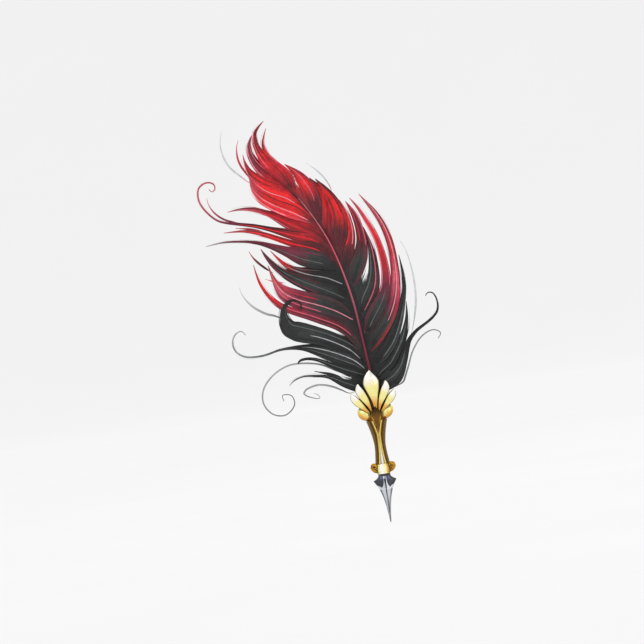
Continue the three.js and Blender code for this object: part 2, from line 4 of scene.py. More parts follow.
import json
import logging
import math
from dataclasses import dataclass, field
from enum import Enum
import bmesh
import bpy
import numpy as np
from mathutils import Matrix, Vector
from mathutils.bvhtree import BVHTree


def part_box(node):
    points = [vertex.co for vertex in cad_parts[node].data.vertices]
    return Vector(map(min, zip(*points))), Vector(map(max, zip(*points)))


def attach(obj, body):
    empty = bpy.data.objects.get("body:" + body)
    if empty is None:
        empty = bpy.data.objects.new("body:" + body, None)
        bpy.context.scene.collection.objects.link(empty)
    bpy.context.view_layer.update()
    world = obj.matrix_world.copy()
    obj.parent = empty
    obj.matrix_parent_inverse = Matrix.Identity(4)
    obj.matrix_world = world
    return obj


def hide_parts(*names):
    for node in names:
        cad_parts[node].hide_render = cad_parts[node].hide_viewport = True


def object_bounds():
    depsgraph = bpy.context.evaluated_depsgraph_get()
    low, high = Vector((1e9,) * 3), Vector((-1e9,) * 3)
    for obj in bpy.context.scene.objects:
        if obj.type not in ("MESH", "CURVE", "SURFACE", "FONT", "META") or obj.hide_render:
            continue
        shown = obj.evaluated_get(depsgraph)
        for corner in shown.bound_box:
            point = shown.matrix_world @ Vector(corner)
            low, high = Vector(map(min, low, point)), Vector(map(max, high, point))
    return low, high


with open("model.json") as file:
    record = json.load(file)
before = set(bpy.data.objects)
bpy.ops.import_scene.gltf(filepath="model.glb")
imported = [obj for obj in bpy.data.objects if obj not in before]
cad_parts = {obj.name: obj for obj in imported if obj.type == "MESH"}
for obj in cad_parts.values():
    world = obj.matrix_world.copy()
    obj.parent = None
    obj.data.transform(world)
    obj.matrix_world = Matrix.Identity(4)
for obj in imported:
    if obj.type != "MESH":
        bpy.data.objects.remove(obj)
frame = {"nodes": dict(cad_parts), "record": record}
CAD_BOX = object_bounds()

LOG = logging.getLogger("feather_pen")
MM = 0.001
WELD_GAP = 1e-6
Array = np.ndarray
Value = float | bpy.types.NodeSocket
Inputs = dict[int | str, object]
Profile = list[tuple[float, float]]


# ---------------------------------------------------------------- colour and paint


class Dye(Enum):
    """The named colours of the pen, as display red, green and blue."""

    SCARLET = (238, 26, 32)
    CRIMSON = (196, 24, 38)
    MAROON = (96, 20, 32)
    PLUM = (128, 36, 62)
    ROSE = (216, 92, 112)
    BLUSH = (232, 140, 152)
    INK = (13, 13, 14)
    SOOT = (30, 31, 32)
    CHARCOAL = (52, 54, 54)
    SLATE = (92, 96, 96)
    ASH = (168, 168, 172)
    MIST = (205, 205, 208)
    CREAM = (252, 247, 236)
    STRAW = (246, 238, 150)
    AMBER = (236, 176, 74)
    GOLD = (214, 158, 44)
    BRONZE = (120, 84, 30)
    UMBER = (60, 38, 8)
    OLIVE = (62, 50, 16)
    SILVER = (206, 209, 214)
    PEWTER = (106, 109, 114)
    GUNMETAL = (70, 71, 76)
    VIOLET = (92, 95, 130)
    DUSK = (158, 78, 96)

    @property
    def linear(self) -> Array:
        """The colour as linear red, green and blue."""
        share = np.array(self.value, float) / 255.0
        return np.where(share <= 0.04045, share / 12.92, ((share + 0.055) / 1.055) ** 2.4)


(
    SCARLET, CRIMSON, MAROON, PLUM, ROSE, BLUSH, INK, SOOT, CHARCOAL, SLATE, ASH, MIST, CREAM,
    STRAW, AMBER, GOLD, BRONZE, UMBER, OLIVE, SILVER, PEWTER, GUNMETAL, VIOLET, DUSK,
) = Dye


def ramp(share: Array, stops: tuple[tuple[float, Dye], ...]) -> Array:
    """Blends through a row of dyes.

    Args:
        share: where each point lies, from 0 to 1.
        stops: rising (share, dye) pairs.

    Returns:
        Linear colours, one more axis than share.
    """
    places = np.array([place for place, _ in stops])
    colours = np.array([dye.linear for _, dye in stops])
    channels = [np.interp(share, places, colours[:, c]) for c in range(3)]
    return np.stack(channels, axis=-1)


def blend(first: Array, second: Array, weight: Array) -> Array:
    """Mixes two sets of colours by a weight from 0 (first) to 1 (second)."""
    return first + (second - first) * np.asarray(weight)[..., None]


def tint(paint: Array, dye: Dye, weight: Array, shade: float = 1.0) -> Array:
    """Moves a paint towards one dye, darkened by a shade, by a weight from 0 to 1."""
    return blend(paint, np.broadcast_to(dye.linear * shade, paint.shape), weight)


def bell(value: Array, centre: float, width: float) -> Array:
    """A soft bump of height 1 round a centre."""
    return np.exp(-(((value - centre) / width) ** 2))


def around(radius: Array, height: Array, turn: Array) -> Array:
    """Places round Z by radius, height and turn from the front, broadcast together."""
    return np.stack(np.broadcast_arrays(radius * np.sin(turn), -radius * np.cos(turn), height), -1)


def full_turn(steps: int) -> Array:
    """Evenly spaced angles round a circle, without the last one."""
    return np.linspace(0, 2 * math.pi, steps, endpoint=False)


def smoothstep(low: float, high: float, value: Array) -> Array:
    """A soft step from 0 at low to 1 at high."""
    share = np.clip((np.asarray(value, float) - low) / (high - low), 0.0, 1.0)
    return share * share * (3 - 2 * share)


# ---------------------------------------------------------------- meshes


class Draft:
    """Points, faces and paint of a piece before they become one mesh."""

    def __init__(self) -> None:
        """Starts with no points."""
        self.points: list[Array] = []
        self.paint: list[Array] = []
        self.tone: list[Array] = []
        self.faces: list[list[int]] = []
        self.count = 0

    def add(self, points: Array, paint: Array, faces: Array, tone: float = 0.0) -> None:
        """Adds loose geometry.

        Args:
            points: (n, 3) places in metres.
            paint: one colour, or (n, 3) colours.
            faces: (m, k) point numbers, counted from the first of these points.
            tone: shade shift that the finish adds to the paint.
        """
        total = len(points)
        self.points.append(points)
        self.paint.append(np.broadcast_to(paint, (total, 3)))
        self.tone.append(np.full(total, tone))
        self.faces.extend((np.asarray(faces) + self.count).tolist())
        self.count += total

    def grid(self, points: Array, paint: Array, wrap: bool = False, tone: float = 0.0) -> None:
        """Adds a (rows, columns, 3) sheet of quads, closed round its columns if wrap is set.

        Args:
            points: the places, row by row.
            paint: colours, one or one for each point.
            wrap: closes each row into a ring.
            tone: shade shift.
        """
        rows, columns = points.shape[:2]
        number = np.arange(rows * columns).reshape(rows, columns)
        if wrap:
            number = np.hstack([number, number[:, :1]])
        quads = np.stack([number[:-1, :-1], number[:-1, 1:], number[1:, 1:], number[1:, :-1]], -1)
        colours = np.broadcast_to(paint, points.shape).reshape(-1, 3)
        self.add(points.reshape(-1, 3), colours, quads.reshape(-1, 4), tone)

    def shell(self, front: Array, back: Array, front_paint: Array, back_paint: Array) -> None:
        """Adds a closed plate between two (rows, columns, 3) sheets.

        Args:
            front: places of the near sheet.
            back: places of the far sheet.
            front_paint: colours of the near sheet.
            back_paint: colours of the far sheet.
        """
        ring = np.concatenate([front, back[:, ::-1]], axis=1)
        near, far = np.broadcast_to(front_paint, front.shape), np.broadcast_to(back_paint, back.shape)
        paint = np.concatenate([near, far[:, ::-1]], axis=1)
        rows, columns = front.shape[:2]
        start = self.count
        self.grid(ring, paint, wrap=True)
        for row in (0, rows - 1):
            base = start + row * 2 * columns
            for column in range(columns - 1):
                across = 2 * columns - 1 - column
                self.faces.append([base + column, base + column + 1, base + across - 1, base + across])

    def turned(self, profile: Profile, sides: int, paint: Array) -> None:
        """Adds a ring turned about Z from a closed loop of (radius, height) corners in metres."""
        loop = np.array([*profile, profile[0]])
        self.grid(around(loop[:, :1], loop[:, 1:], full_turn(sides)), paint, wrap=True)

    def mesh(self, name: str, angle: float = 50.0) -> bpy.types.Mesh:
        """Makes the mesh, closed and facing outwards.

        Args:
            name: the mesh's name.
            angle: sharpest edge, in degrees, that is still shaded smooth.

        Returns:
            A mesh with the colour attribute Dye and the number attribute tone.
        """
        points = np.concatenate(self.points)
        mesh = bpy.data.meshes.new(name)
        mesh.from_pydata(points.tolist(), [], self.faces)
        paint_on(mesh, np.concatenate(self.paint), np.concatenate(self.tone))
        sealed(mesh)
        smooth_by_angle(mesh, angle)
        return mesh


def paint_on(mesh: bpy.types.Mesh, colours: Array, tones: Array) -> None:
    """Stores the paint that every finish reads.

    Args:
        mesh: the mesh to dress.
        colours: (n, 3) linear colours.
        tones: (n,) shade shifts.
    """
    dye = mesh.attributes.new("Dye", "FLOAT_COLOR", "POINT")
    rgba = np.concatenate([colours, np.ones((len(colours), 1))], axis=1)
    dye.data.foreach_set("color", rgba.astype(np.float32).ravel())
    shade = mesh.attributes.new("tone", "FLOAT", "POINT")
    shade.data.foreach_set("value", np.asarray(tones, np.float32))


def sealed(mesh: bpy.types.Mesh) -> None:
    """Merges coincident points, closes the poles and turns the faces outwards.

    Args:
        mesh: the mesh to change.
    """
    work = bmesh.new()
    work.from_mesh(mesh)
    bmesh.ops.remove_doubles(work, verts=work.verts, dist=WELD_GAP)
    bmesh.ops.dissolve_degenerate(work, edges=work.edges, dist=WELD_GAP / 10)
    bmesh.ops.recalc_face_normals(work, faces=work.faces)
    work.to_mesh(mesh)
    work.free()


def smooth_by_angle(mesh: bpy.types.Mesh, angle: float = 40.0) -> None:
    """Shades the mesh smooth, except across edges sharper than an angle in degrees.

    Args:
        mesh: the mesh to work on.
        angle: sharpest angle in degrees that stays smooth.
    """
    mesh.shade_smooth()
    work = bmesh.new()
    work.from_mesh(mesh)
    limit = math.radians(angle)
    for edge in work.edges:
        if len(edge.link_faces) == 2:
            edge.smooth = edge.calc_face_angle(0.0) < limit
    work.to_mesh(mesh)
    work.free()


def settle(
    mesh: bpy.types.Mesh,
    name: str,
    material: bpy.types.Material,
    body: str,
    nodes: tuple[str, ...] = (),
) -> bpy.types.Object:
    """Makes a finished piece of a mesh and hangs it on its body.

    Args:
        mesh: the piece's mesh, already in place.
        name: the piece's name.
        material: its finish.
        body: the CAD body it rides on.
        nodes: the CAD nodes it stands for.

    Returns:
        The new object.
    """
    piece = bpy.data.objects.new(name, mesh)
    bpy.context.scene.collection.objects.link(piece)
    mesh.materials.clear()
    mesh.materials.append(material)
    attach(piece, body)
    if nodes:
        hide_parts(*nodes)
    LOG.info("%s: %d faces on %s", name, len(mesh.polygons), body)
    return piece


# ---------------------------------------------------------------- reading the frame


def welded(node: str) -> tuple[Array, list[list[int]]]:
    """Reads a CAD node's corners and which of them share an edge.

    Args:
        node: name of the CAD node.

    Returns:
        The corners, and for each its neighbours' numbers.
    """
    work = bmesh.new()
    work.from_mesh(frame["nodes"][node].data)
    bmesh.ops.remove_doubles(work, verts=work.verts, dist=WELD_GAP)
    corners = np.array([vertex.co for vertex in work.verts], float)
    near = [[edge.other_vert(vertex).index for edge in vertex.link_edges] for vertex in work.verts]
    work.free()
    return corners, near


def levels_from(start: list[int], near: list[list[int]]) -> list[list[int]]:
    """Sorts corners into rings by how many edges they lie away from a start.

    Args:
        start: numbers of the first ring.
        near: each corner's neighbours.

    Returns:
        The rings, nearest first.
    """
    seen = set(start)
    rings = [list(start)]
    while rings[-1]:
        ring: list[int] = []
        for corner in rings[-1]:
            for other in near[corner]:
                if other not in seen:
                    seen.add(other)
                    ring.append(other)
        rings.append(ring)
    return rings[:-1]


def resample(points: Array, count: int) -> Array:
    """Draws a smooth curve through stations and cuts it into equal steps.

    Args:
        points: (n, d) stations; the first three numbers of each are its place.
        count: how many points to return.

    Returns:
        (count, d) points.
    """
    gaps = np.linalg.norm(np.diff(points[:, :3], axis=0), axis=1)
    knots = np.concatenate([[0.0], np.cumsum(np.maximum(gaps, 1e-9))])
    slope = np.diff(points, axis=0) / np.diff(knots)[:, None]
    weight = np.diff(knots)
    spans = (weight[1:] + weight[:-1])[:, None]
    inner = (slope[:-1] * weight[1:, None] + slope[1:] * weight[:-1, None]) / spans
    tangent = np.concatenate([slope[:1], inner, slope[-1:]])
    where = np.linspace(0, knots[-1], count)
    span = np.clip(np.searchsorted(knots, where, side="right") - 1, 0, len(knots) - 2)
    width = weight[span]
    t = ((where - knots[span]) / width)[:, None]
    low, high = points[span], points[span + 1]
    low_pull, high_pull = tangent[span] * width[:, None], tangent[span + 1] * width[:, None]
    return (
        (2 * t**3 - 3 * t**2 + 1) * low
        + (t**3 - 2 * t**2 + t) * low_pull
        + (3 * t**2 - 2 * t**3) * high
        + (t**3 - t**2) * high_pull
    )


@dataclass
class Ribbon:
    """A flat sheet's three rails from root to tip: its two edges and its middle."""

    left: Array
    middle: Array
    right: Array

    @classmethod
    def of_node(cls, node: str, rising: bool = False) -> "Ribbon":
        """Reads a CAD sheet whose cross-section has six corners at every station.

        Args:
            node: the CAD node.
            rising: start from the lowest end, rather than from the widest one.

        Returns:
            The ribbon, one point of each rail for every station.
        """
        corners, near = welded(node)
        apart = np.linalg.norm(corners[:, None] - corners[None], axis=2)
        tip = int(np.sort(apart, axis=1)[:, 5].argmin())
        rings = levels_from([int(i) for i in np.argsort(apart[tip])[:6]], near)[::-1]
        centres = np.array([corners[ring].mean(0) for ring in rings])
        if rising and centres[0, 2] > centres[-1, 2]:
            rings, centres = rings[::-1], centres[::-1]
        heading = np.gradient(centres, axis=0)
        rails = []
        for ring, direction in zip(rings, heading):
            across = np.array([direction[2], 0.0, -direction[0]])
            order = np.argsort(corners[ring] @ across)
            sorted_ring = corners[ring][order]
            rails.append([sorted_ring[0:2].mean(0), sorted_ring[2:4].mean(0), sorted_ring[4:6].mean(0)])
        rail = np.array(rails)
        return cls(rail[:, 0], rail[:, 1], rail[:, 2])

    @property
    def length(self) -> float:
        """Length of the middle rail."""
        return float(np.linalg.norm(np.diff(self.middle, axis=0), axis=1).sum())

    @property
    def half(self) -> Array:
        """Half width at every station."""
        return np.linalg.norm(self.right - self.left, axis=1) / 2

    def resampled(self, count: int) -> "Ribbon":
        """The same ribbon with evenly spaced stations."""
        rail = resample(np.concatenate([self.middle, self.left, self.right], axis=1), count)
        return Ribbon(rail[:, 3:6], rail[:, 0:3], rail[:, 6:9])

    def at(self, lanes: Array) -> Array:
        """Places on the sheet.

        Args:
            lanes: (c,) or (n, c) shares across, from -1 at the left rail to 1 at the right.

        Returns:
            (n, c, 3) points.
        """
        lane = np.broadcast_to(lanes, (len(self.middle), np.shape(lanes)[-1]))[..., None]
        side = (self.right - self.left)[:, None] / 2
        bow = ((self.right + self.left) / 2 - self.middle)[:, None]
        return self.middle[:, None] + lane * side + lane**2 * bow


def rod_stations(node: str) -> Array:
    """Reads a CAD rod as (n, 4) places and radii, from its thick end to its thin one.

    Args:
        node: name of the CAD node.

    Returns:
        The (n, 4) places and radii.
    """
    corners, near = welded(node)
    end = levels_from([0], near)[-1][0]
    rings = levels_from([end], near)[1:-1]
    stations = []
    for ring in rings:
        centre = corners[ring].mean(0)
        radius = np.linalg.norm(corners[ring] - centre, axis=1).mean()
        stations.append([*centre, radius])
    if stations[0][3] < stations[-1][3]:
        stations.reverse()
    return np.array(stations)


class Probe:
    """Feels a CAD node's surface with straight lines."""

    def __init__(self, node: str) -> None:
        """Keeps the node's faces ready to be hit.

        Args:
            node: name of the CAD node.
        """
        mesh = frame["nodes"][node].data
        corners = [vertex.co.copy() for vertex in mesh.vertices]
        self.tree = BVHTree.FromPolygons(corners, [tuple(face.vertices) for face in mesh.polygons])
        self.low, self.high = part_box(node)
        self.corners = np.array([corner[:] for corner in corners])
        self.least = 0.2 * MM

    def wall(self, z: float, angle: float) -> tuple[float, float]:
        """Bore and outer radius about Z at a height, along an angle from the front.

        Args:
            z: height in metres.
            angle: radians from the front.

        Returns:
            The two radii in metres.
        """
        out = Vector((math.sin(angle), -math.cos(angle), 0))
        up = Vector((0, 0, z))
        inner = self.tree.ray_cast(up, out)[0]
        outer = self.tree.ray_cast(up + out * 0.1, -out)[0]
        return (inner - up).length, (outer - up).length

    def half_width(self, z: float, side: int) -> float:
        """How far the node's outline reaches from the middle plane at a height, on one side in x.

        Args:
            z: height in metres.
            side: -1 on the left, 1 on the right.

        Returns:
            The reach in metres.
        """
        levels = sorted({round(corner[2], 6) for corner in self.corners})
        keep: list[tuple[float, float]] = []
        for level in levels:
            near = np.abs(self.corners[:, 2] - level) < 2 * WELD_GAP
            wide = float((side * self.corners[near, 0]).max())
            if wide > self.least:
                keep.append((level, wide))
        return float(np.interp(z, *zip(*keep)))


# ---------------------------------------------------------------- finishes


class NodeTree:
    """A node tree in the making."""

    tree: bpy.types.NodeTree

    def link(self, source: bpy.types.NodeSocket, target: bpy.types.NodeSocket) -> None:
        """Joins two sockets."""
        self.tree.links.new(source, target)

    def fill(self, node: bpy.types.Node, inputs: Inputs) -> None:
        """Sets or feeds a node's inputs.

        Args:
            node: the node.
            inputs: a number, a colour or another node's socket for each input.
        """
        for key, value in inputs.items():
            if isinstance(value, bpy.types.NodeSocket):
                self.link(value, node.inputs[key])
            else:
                node.inputs[key].default_value = value

    def node(self, kind: str, inputs: Inputs | None = None, **settings: object) -> bpy.types.Node:
        """Adds a node.

        Args:
            kind: the node's type.
            inputs: what its inputs take.
            settings: values of its properties.

        Returns:
            The node.
        """
        made = self.tree.nodes.new(kind)
        for key, value in settings.items():
            setattr(made, key, value)
        self.fill(made, inputs or {})
        return made


class Recipe(NodeTree):
    """A material in the making."""

    def __init__(self, name: str) -> None:
        """Starts a material with an empty tree and its two closing nodes.

        Args:
            name: the material's name.
        """
        self.material = bpy.data.materials.new(name)
        self.material.use_nodes = True
        self.tree = self.material.node_tree
        self.tree.nodes.clear()
        self.shader = self.node("ShaderNodeBsdfPrincipled")
        self.node("ShaderNodeOutputMaterial", {"Surface": self.shader.outputs["BSDF"]})

    def maths(self, operation: str, first: Value, second: Value) -> bpy.types.NodeSocket:
        """The result of a maths node on two sockets or numbers."""
        return self.node("ShaderNodeMath", {0: first, 1: second}, operation=operation).outputs[0]

    def attribute(self, name: str, output: str) -> bpy.types.NodeSocket:
        """A mesh attribute's socket."""
        return self.node("ShaderNodeAttribute", attribute_name=name).outputs[output]

    def noise(self, scale: float, detail: float = 3.0, along: float = 1.0) -> bpy.types.NodeSocket:
        """Noise on Object coordinates.

        Args:
            scale: features per metre.
            detail: finer octaves.
            along: scale along Z against the scale across; below 1 it draws hairlines.

        Returns:
            The noise's value from 0 to 1.
        """
        place = self.node("ShaderNodeTexCoord").outputs["Object"]
        mapped = self.node("ShaderNodeMapping", {"Scale": (1.0, 1.0, along), "Vector": place})
        inputs = {"Scale": scale, "Detail": detail, "Vector": mapped.outputs["Vector"]}
        return self.node("ShaderNodeTexNoise", inputs).outputs["Fac"]

    def shaded(self, colour: bpy.types.NodeSocket, factor: bpy.types.NodeSocket) -> bpy.types.NodeSocket:
        """Multiplies a colour by a number."""
        return self.node("ShaderNodeVectorMath", {0: colour, "Scale": factor}, operation="SCALE").outputs[0]

    def between(self, value: bpy.types.NodeSocket, low: float, high: float) -> bpy.types.NodeSocket:
        """Spreads the middle half of a 0 to 1 value between two numbers."""
        limits = {"From Min": 0.25, "From Max": 0.75, "To Min": low, "To Max": high, "Value": value}
        return self.node("ShaderNodeMapRange", limits).outputs["Result"]

    def painted(self, shade: bpy.types.NodeSocket, least: float) -> None:
        """Colours the surface with its own dye, lightened and darkened by a shade.

        Args:
            shade: how much lighter or darker, as a share.
            least: the darkest that the dye may go, as a share.
        """
        factor = self.maths("MAXIMUM", self.maths("ADD", shade, 1.0), least)
        self.fill(self.shader, {"Base Color": self.shaded(self.attribute("Dye", "Color"), factor)})

    def bump(self, height: bpy.types.NodeSocket, strength: float, distance: float) -> None:
        """Raises fine relief.

        Args:
            height: the relief's value from 0 to 1.
            strength: share of the relief that shows.
            distance: its height in metres.
        """
        made = self.node("ShaderNodeBump", {"Strength": strength, "Distance": distance, "Height": height})
        self.fill(self.shader, {"Normal": made.outputs["Normal"]})


@dataclass(frozen=True)
class BarbFinish:
    """Dyed barbs: a silky strand with streaks of stronger and weaker dye."""

    name: str
    roughness: float = 0.42
    sheen: float = 0.12
    streaks: float = 0.22
    fleck: float = 0.07

    def build(self) -> bpy.types.Material:
        """Makes the material.

        Returns:
            The material.
        """
        recipe = Recipe(self.name)
        streak = recipe.between(recipe.noise(260.0, 4.0), -self.streaks, self.streaks)
        fleck = recipe.between(recipe.noise(1800.0, 2.0), -self.fleck, self.fleck)
        shade = recipe.maths("ADD", recipe.attribute("tone", "Fac"), recipe.attribute("strand_shade", "Fac"))
        recipe.painted(recipe.maths("ADD", shade, recipe.maths("ADD", streak, fleck)), 0.15)
        values = {
            "Roughness": recipe.between(
                recipe.noise(900.0, 2.0), self.roughness - 0.07, self.roughness + 0.1
            ),
            "Sheen Weight": self.sheen,
            "Sheen Roughness": 0.4,
            "Specular IOR Level": 0.45,
        }
        recipe.fill(recipe.shader, values)
        recipe.bump(recipe.noise(3200.0, 2.0), 0.35, 0.12 * MM)
        return recipe.material


@dataclass(frozen=True)
class MetalFinish:
    """Painted-on tint over metal: satin burnish, small clouds of tarnish and hairline wear."""

    name: str
    metallic: float = 1.0
    roughness: float = 0.26
    clouds: float = 0.12
    coat: float = 0.0
    hairlines: float = 0.05

    def build(self) -> bpy.types.Material:
        """Makes the material.

        Returns:
            The material.
        """
        recipe = Recipe(self.name)
        cloud = recipe.between(recipe.noise(420.0, 4.0), -self.clouds, self.clouds)
        hair = recipe.between(recipe.noise(1500.0, 2.0, 0.08), -self.hairlines, self.hairlines)
        shade = recipe.maths("ADD", recipe.maths("ADD", cloud, hair), recipe.attribute("tone", "Fac"))
        recipe.painted(shade, 0.2)
        values = {
            "Roughness": recipe.between(
                recipe.noise(700.0, 3.0), self.roughness - 0.06, self.roughness + 0.1
            ),
            "Metallic": self.metallic,
            "Coat Weight": self.coat,
            "Coat Roughness": 0.12,
        }
        recipe.fill(recipe.shader, values)
        recipe.bump(recipe.noise(2400.0, 2.0, 0.1), 0.25, 0.06 * MM)
        return recipe.material


@dataclass(frozen=True)
class PlainFinish:
    """One colour with grain, for hidden machined parts and for the floor."""

    name: str
    dye: tuple[float, float, float]
    metallic: float = 0.0
    roughness: float = 0.4
    grain: float = 1200.0
    spread: float = 0.12
    relief: float = 0.00005
    glow: float = 0.0

    def build(self) -> bpy.types.Material:
        """Makes the material.

        Returns:
            The material.
        """
        recipe = Recipe(self.name)
        flat = recipe.node("ShaderNodeRGB")
        flat.outputs[0].default_value = (*self.dye, 1.0)
        factor = recipe.between(recipe.noise(self.grain, 3.0), 1.0 - self.spread, 1.0 + self.spread)
        fine = recipe.noise(self.grain * 0.6, 2.0)
        values = {
            "Base Color": recipe.shaded(flat.outputs[0], factor),
            "Roughness": recipe.between(fine, self.roughness - 0.05, self.roughness + 0.08),
            "Metallic": self.metallic,
            "Emission Color": (1.0, 1.0, 1.0, 1.0),
            "Emission Strength": self.glow,
        }
        recipe.fill(recipe.shader, values)
        recipe.bump(recipe.noise(self.grain * 2, 2.0), 0.2, self.relief)
        return recipe.material


def made_by(finish: BarbFinish | MetalFinish | PlainFinish) -> bpy.types.Material:
    """A field that holds the material of a finish."""
    return field(default_factory=finish.build)


@dataclass
class Finishes:
    """Every finish on the pen, made once."""

    scarlet: bpy.types.Material = made_by(BarbFinish("barbs_scarlet"))
    plum: bpy.types.Material = made_by(BarbFinish("barbs_plum"))
    charcoal: bpy.types.Material = made_by(BarbFinish("barbs_charcoal", 0.4, 0.1, 0.3))
    ink: bpy.types.Material = made_by(BarbFinish("barbs_ink", 0.36, 0.08, 0.35))
    ash: bpy.types.Material = made_by(BarbFinish("barbs_ash", 0.5, 0.2, 0.15))
    quill: bpy.types.Material = made_by(BarbFinish("quill", 0.34, 0.0, 0.1))
    gilt: bpy.types.Material = made_by(MetalFinish("gilt", 0.75, 0.24, 0.14))
    pale_gilt: bpy.types.Material = made_by(MetalFinish("pale_gilt", 0.35, 0.2, 0.04, 0.4))
    brass: bpy.types.Material = made_by(MetalFinish("brass", 0.6, 0.22, 0.08))
    bright_steel: bpy.types.Material = made_by(MetalFinish("bright_steel", 0.85, 0.16, 0.05))
    blued_steel: bpy.types.Material = made_by(MetalFinish("blued_steel", 0.8, 0.22, 0.1))
    spring_steel: bpy.types.Material = made_by(PlainFinish("spring_steel", (0.42, 0.43, 0.46), 1.0, 0.3))
    amber_resin: bpy.types.Material = made_by(
        PlainFinish("amber_resin", (0.25, 0.1, 0.015), 0.0, 0.35, 600.0)
    )
    floor: bpy.types.Material = made_by(
        PlainFinish("pale_floor", (0.04, 0.04, 0.04), 0.0, 0.9, 9.0, 0.004, 0.0, 0.835)
    )

    def for_slot(self, slot: str) -> bpy.types.Material:
        """The barbs' finish for a record slot."""
        return getattr(self, slot.removeprefix("barbs_"))


# ---------------------------------------------------------------- swept strands


class StrandTree(NodeTree):
    """Geometry Nodes tree that sweeps a round section along every marked guide of a mesh.

    Unmarked faces pass through, so a lock's sheet and its barbs come out as one mesh.
    """

    THICKNESS = "Thickness"
    SIDES = "Sides"
    SPREAD = "Shade spread"
    SEED = "Seed"
    FINISH = "Finish"

    def __init__(self) -> None:
        """Builds the tree."""
        self.tree = bpy.data.node_groups.new("swept_strands", "GeometryNodeTree")
        kinds = {
            "Geometry": "NodeSocketGeometry",
            self.THICKNESS: "NodeSocketFloat",
            self.SIDES: "NodeSocketInt",
            self.SPREAD: "NodeSocketFloat",
            self.SEED: "NodeSocketInt",
            self.FINISH: "NodeSocketMaterial",
        }
        for name, kind in kinds.items():
            self.tree.interface.new_socket(name, in_out="INPUT", socket_type=kind)
        self.tree.interface.new_socket("Geometry", in_out="OUTPUT", socket_type="NodeSocketGeometry")
        self.source = self.node("NodeGroupInput").outputs
        split = {"Geometry": self.source["Geometry"], "Selection": self._named("guide", "BOOLEAN")}
        part = self.node("GeometryNodeSeparateGeometry", split, domain="POINT")
        curve = self.node("GeometryNodeMeshToCurve", {"Mesh": part.outputs["Selection"]})
        tube = self._sweep(self._shade(curve.outputs["Curve"]))
        joined = self.node("GeometryNodeJoinGeometry")
        for strand in (part.outputs["Inverted"], tube):
            self.link(strand, joined.inputs[0])
        real = self.node("GeometryNodeRealizeInstances", {0: joined.outputs[0]})
        dress = {"Geometry": real.outputs[0], "Material": self.source[self.FINISH]}
        self.node("NodeGroupOutput", {0: self.node("GeometryNodeSetMaterial", dress).outputs[0]})

    def _named(self, name: str, kind: str) -> bpy.types.NodeSocket:
        """The socket of a stored attribute."""
        made = self.node("GeometryNodeInputNamedAttribute", {"Name": name}, data_type=kind)
        return made.outputs["Attribute"]

    def _shade(self, curve: bpy.types.NodeSocket) -> bpy.types.NodeSocket:
        """Gives each strand its own random shade.

        Args:
            curve: the strands' centre lines.

        Returns:
            The centre lines with the attribute strand_shade.
        """
        spread = self.source[self.SPREAD]
        below = self.node("ShaderNodeMath", {0: spread, 1: -1.0}, operation="MULTIPLY").outputs[0]
        limits = {2: below, 3: spread, "Seed": self.source[self.SEED]}
        draw = self.node("FunctionNodeRandomValue", limits, data_type="FLOAT").outputs[1]
        kept = {"Name": "strand_shade", "Geometry": curve, "Value": draw}
        store = self.node("GeometryNodeStoreNamedAttribute", kept, data_type="FLOAT", domain="CURVE")
        return store.outputs[0]

    def _sweep(self, curve: bpy.types.NodeSocket) -> bpy.types.NodeSocket:
        """Sweeps the section along the strands, as thick as their girth says.

        Args:
            curve: the strands' centre lines.

        Returns:
            The closed strands.
        """
        ring = {"Radius": 1.0, "Resolution": self.source[self.SIDES]}
        section = self.node("GeometryNodeCurvePrimitiveCircle", ring, mode="RADIUS")
        size = {0: self._named("girth", "FLOAT"), 1: self.source[self.THICKNESS]}
        girth = self.node("ShaderNodeMath", size, operation="MULTIPLY").outputs[0]
        parts = {"Curve": curve, "Profile Curve": section.outputs["Curve"], "Scale": girth, "Fill Caps": True}
        tube = self.node("GeometryNodeCurveToMesh", parts)
        return self.node("GeometryNodeSetShadeSmooth", {"Geometry": tube.outputs["Mesh"]}).outputs["Geometry"]

    def apply(
        self, mesh: bpy.types.Mesh, material: bpy.types.Material, sides: int, spread: float, seed: int
    ) -> bpy.types.Mesh:
        """Runs the tree on a mesh.

        Args:
            mesh: sheet faces and guide edges with the attributes guide, girth, Dye and tone.
            material: the finish that the tree sets.
            sides: sides of the strands' section.
            spread: how far a strand's shade may stray.
            seed: fixes the random shades.

        Returns:
            The plain mesh.
        """
        holder = bpy.data.objects.new("strand_work", mesh)
        bpy.context.scene.collection.objects.link(holder)
        modifier = holder.modifiers.new("strands", "NODES")
        modifier.node_group = self.tree
        values = {
            self.THICKNESS: 1.0,
            self.SIDES: sides,
            self.SPREAD: spread,
            self.SEED: seed,
            self.FINISH: material,
        }
        for item in self.tree.interface.items_tree:
            if item.item_type == "SOCKET" and item.in_out == "INPUT" and item.name in values:
                modifier[item.identifier] = values[item.name]
        holder.update_tag()
        bpy.context.view_layer.update()
        graph = bpy.context.evaluated_depsgraph_get()
        made = bpy.data.meshes.new_from_object(holder.evaluated_get(graph), depsgraph=graph)
        holder.modifiers.clear()
        bpy.data.objects.remove(holder)
        for name in ("guide", "girth"):
            stored = made.attributes.get(name)
            if stored:
                made.attributes.remove(stored)
        return made


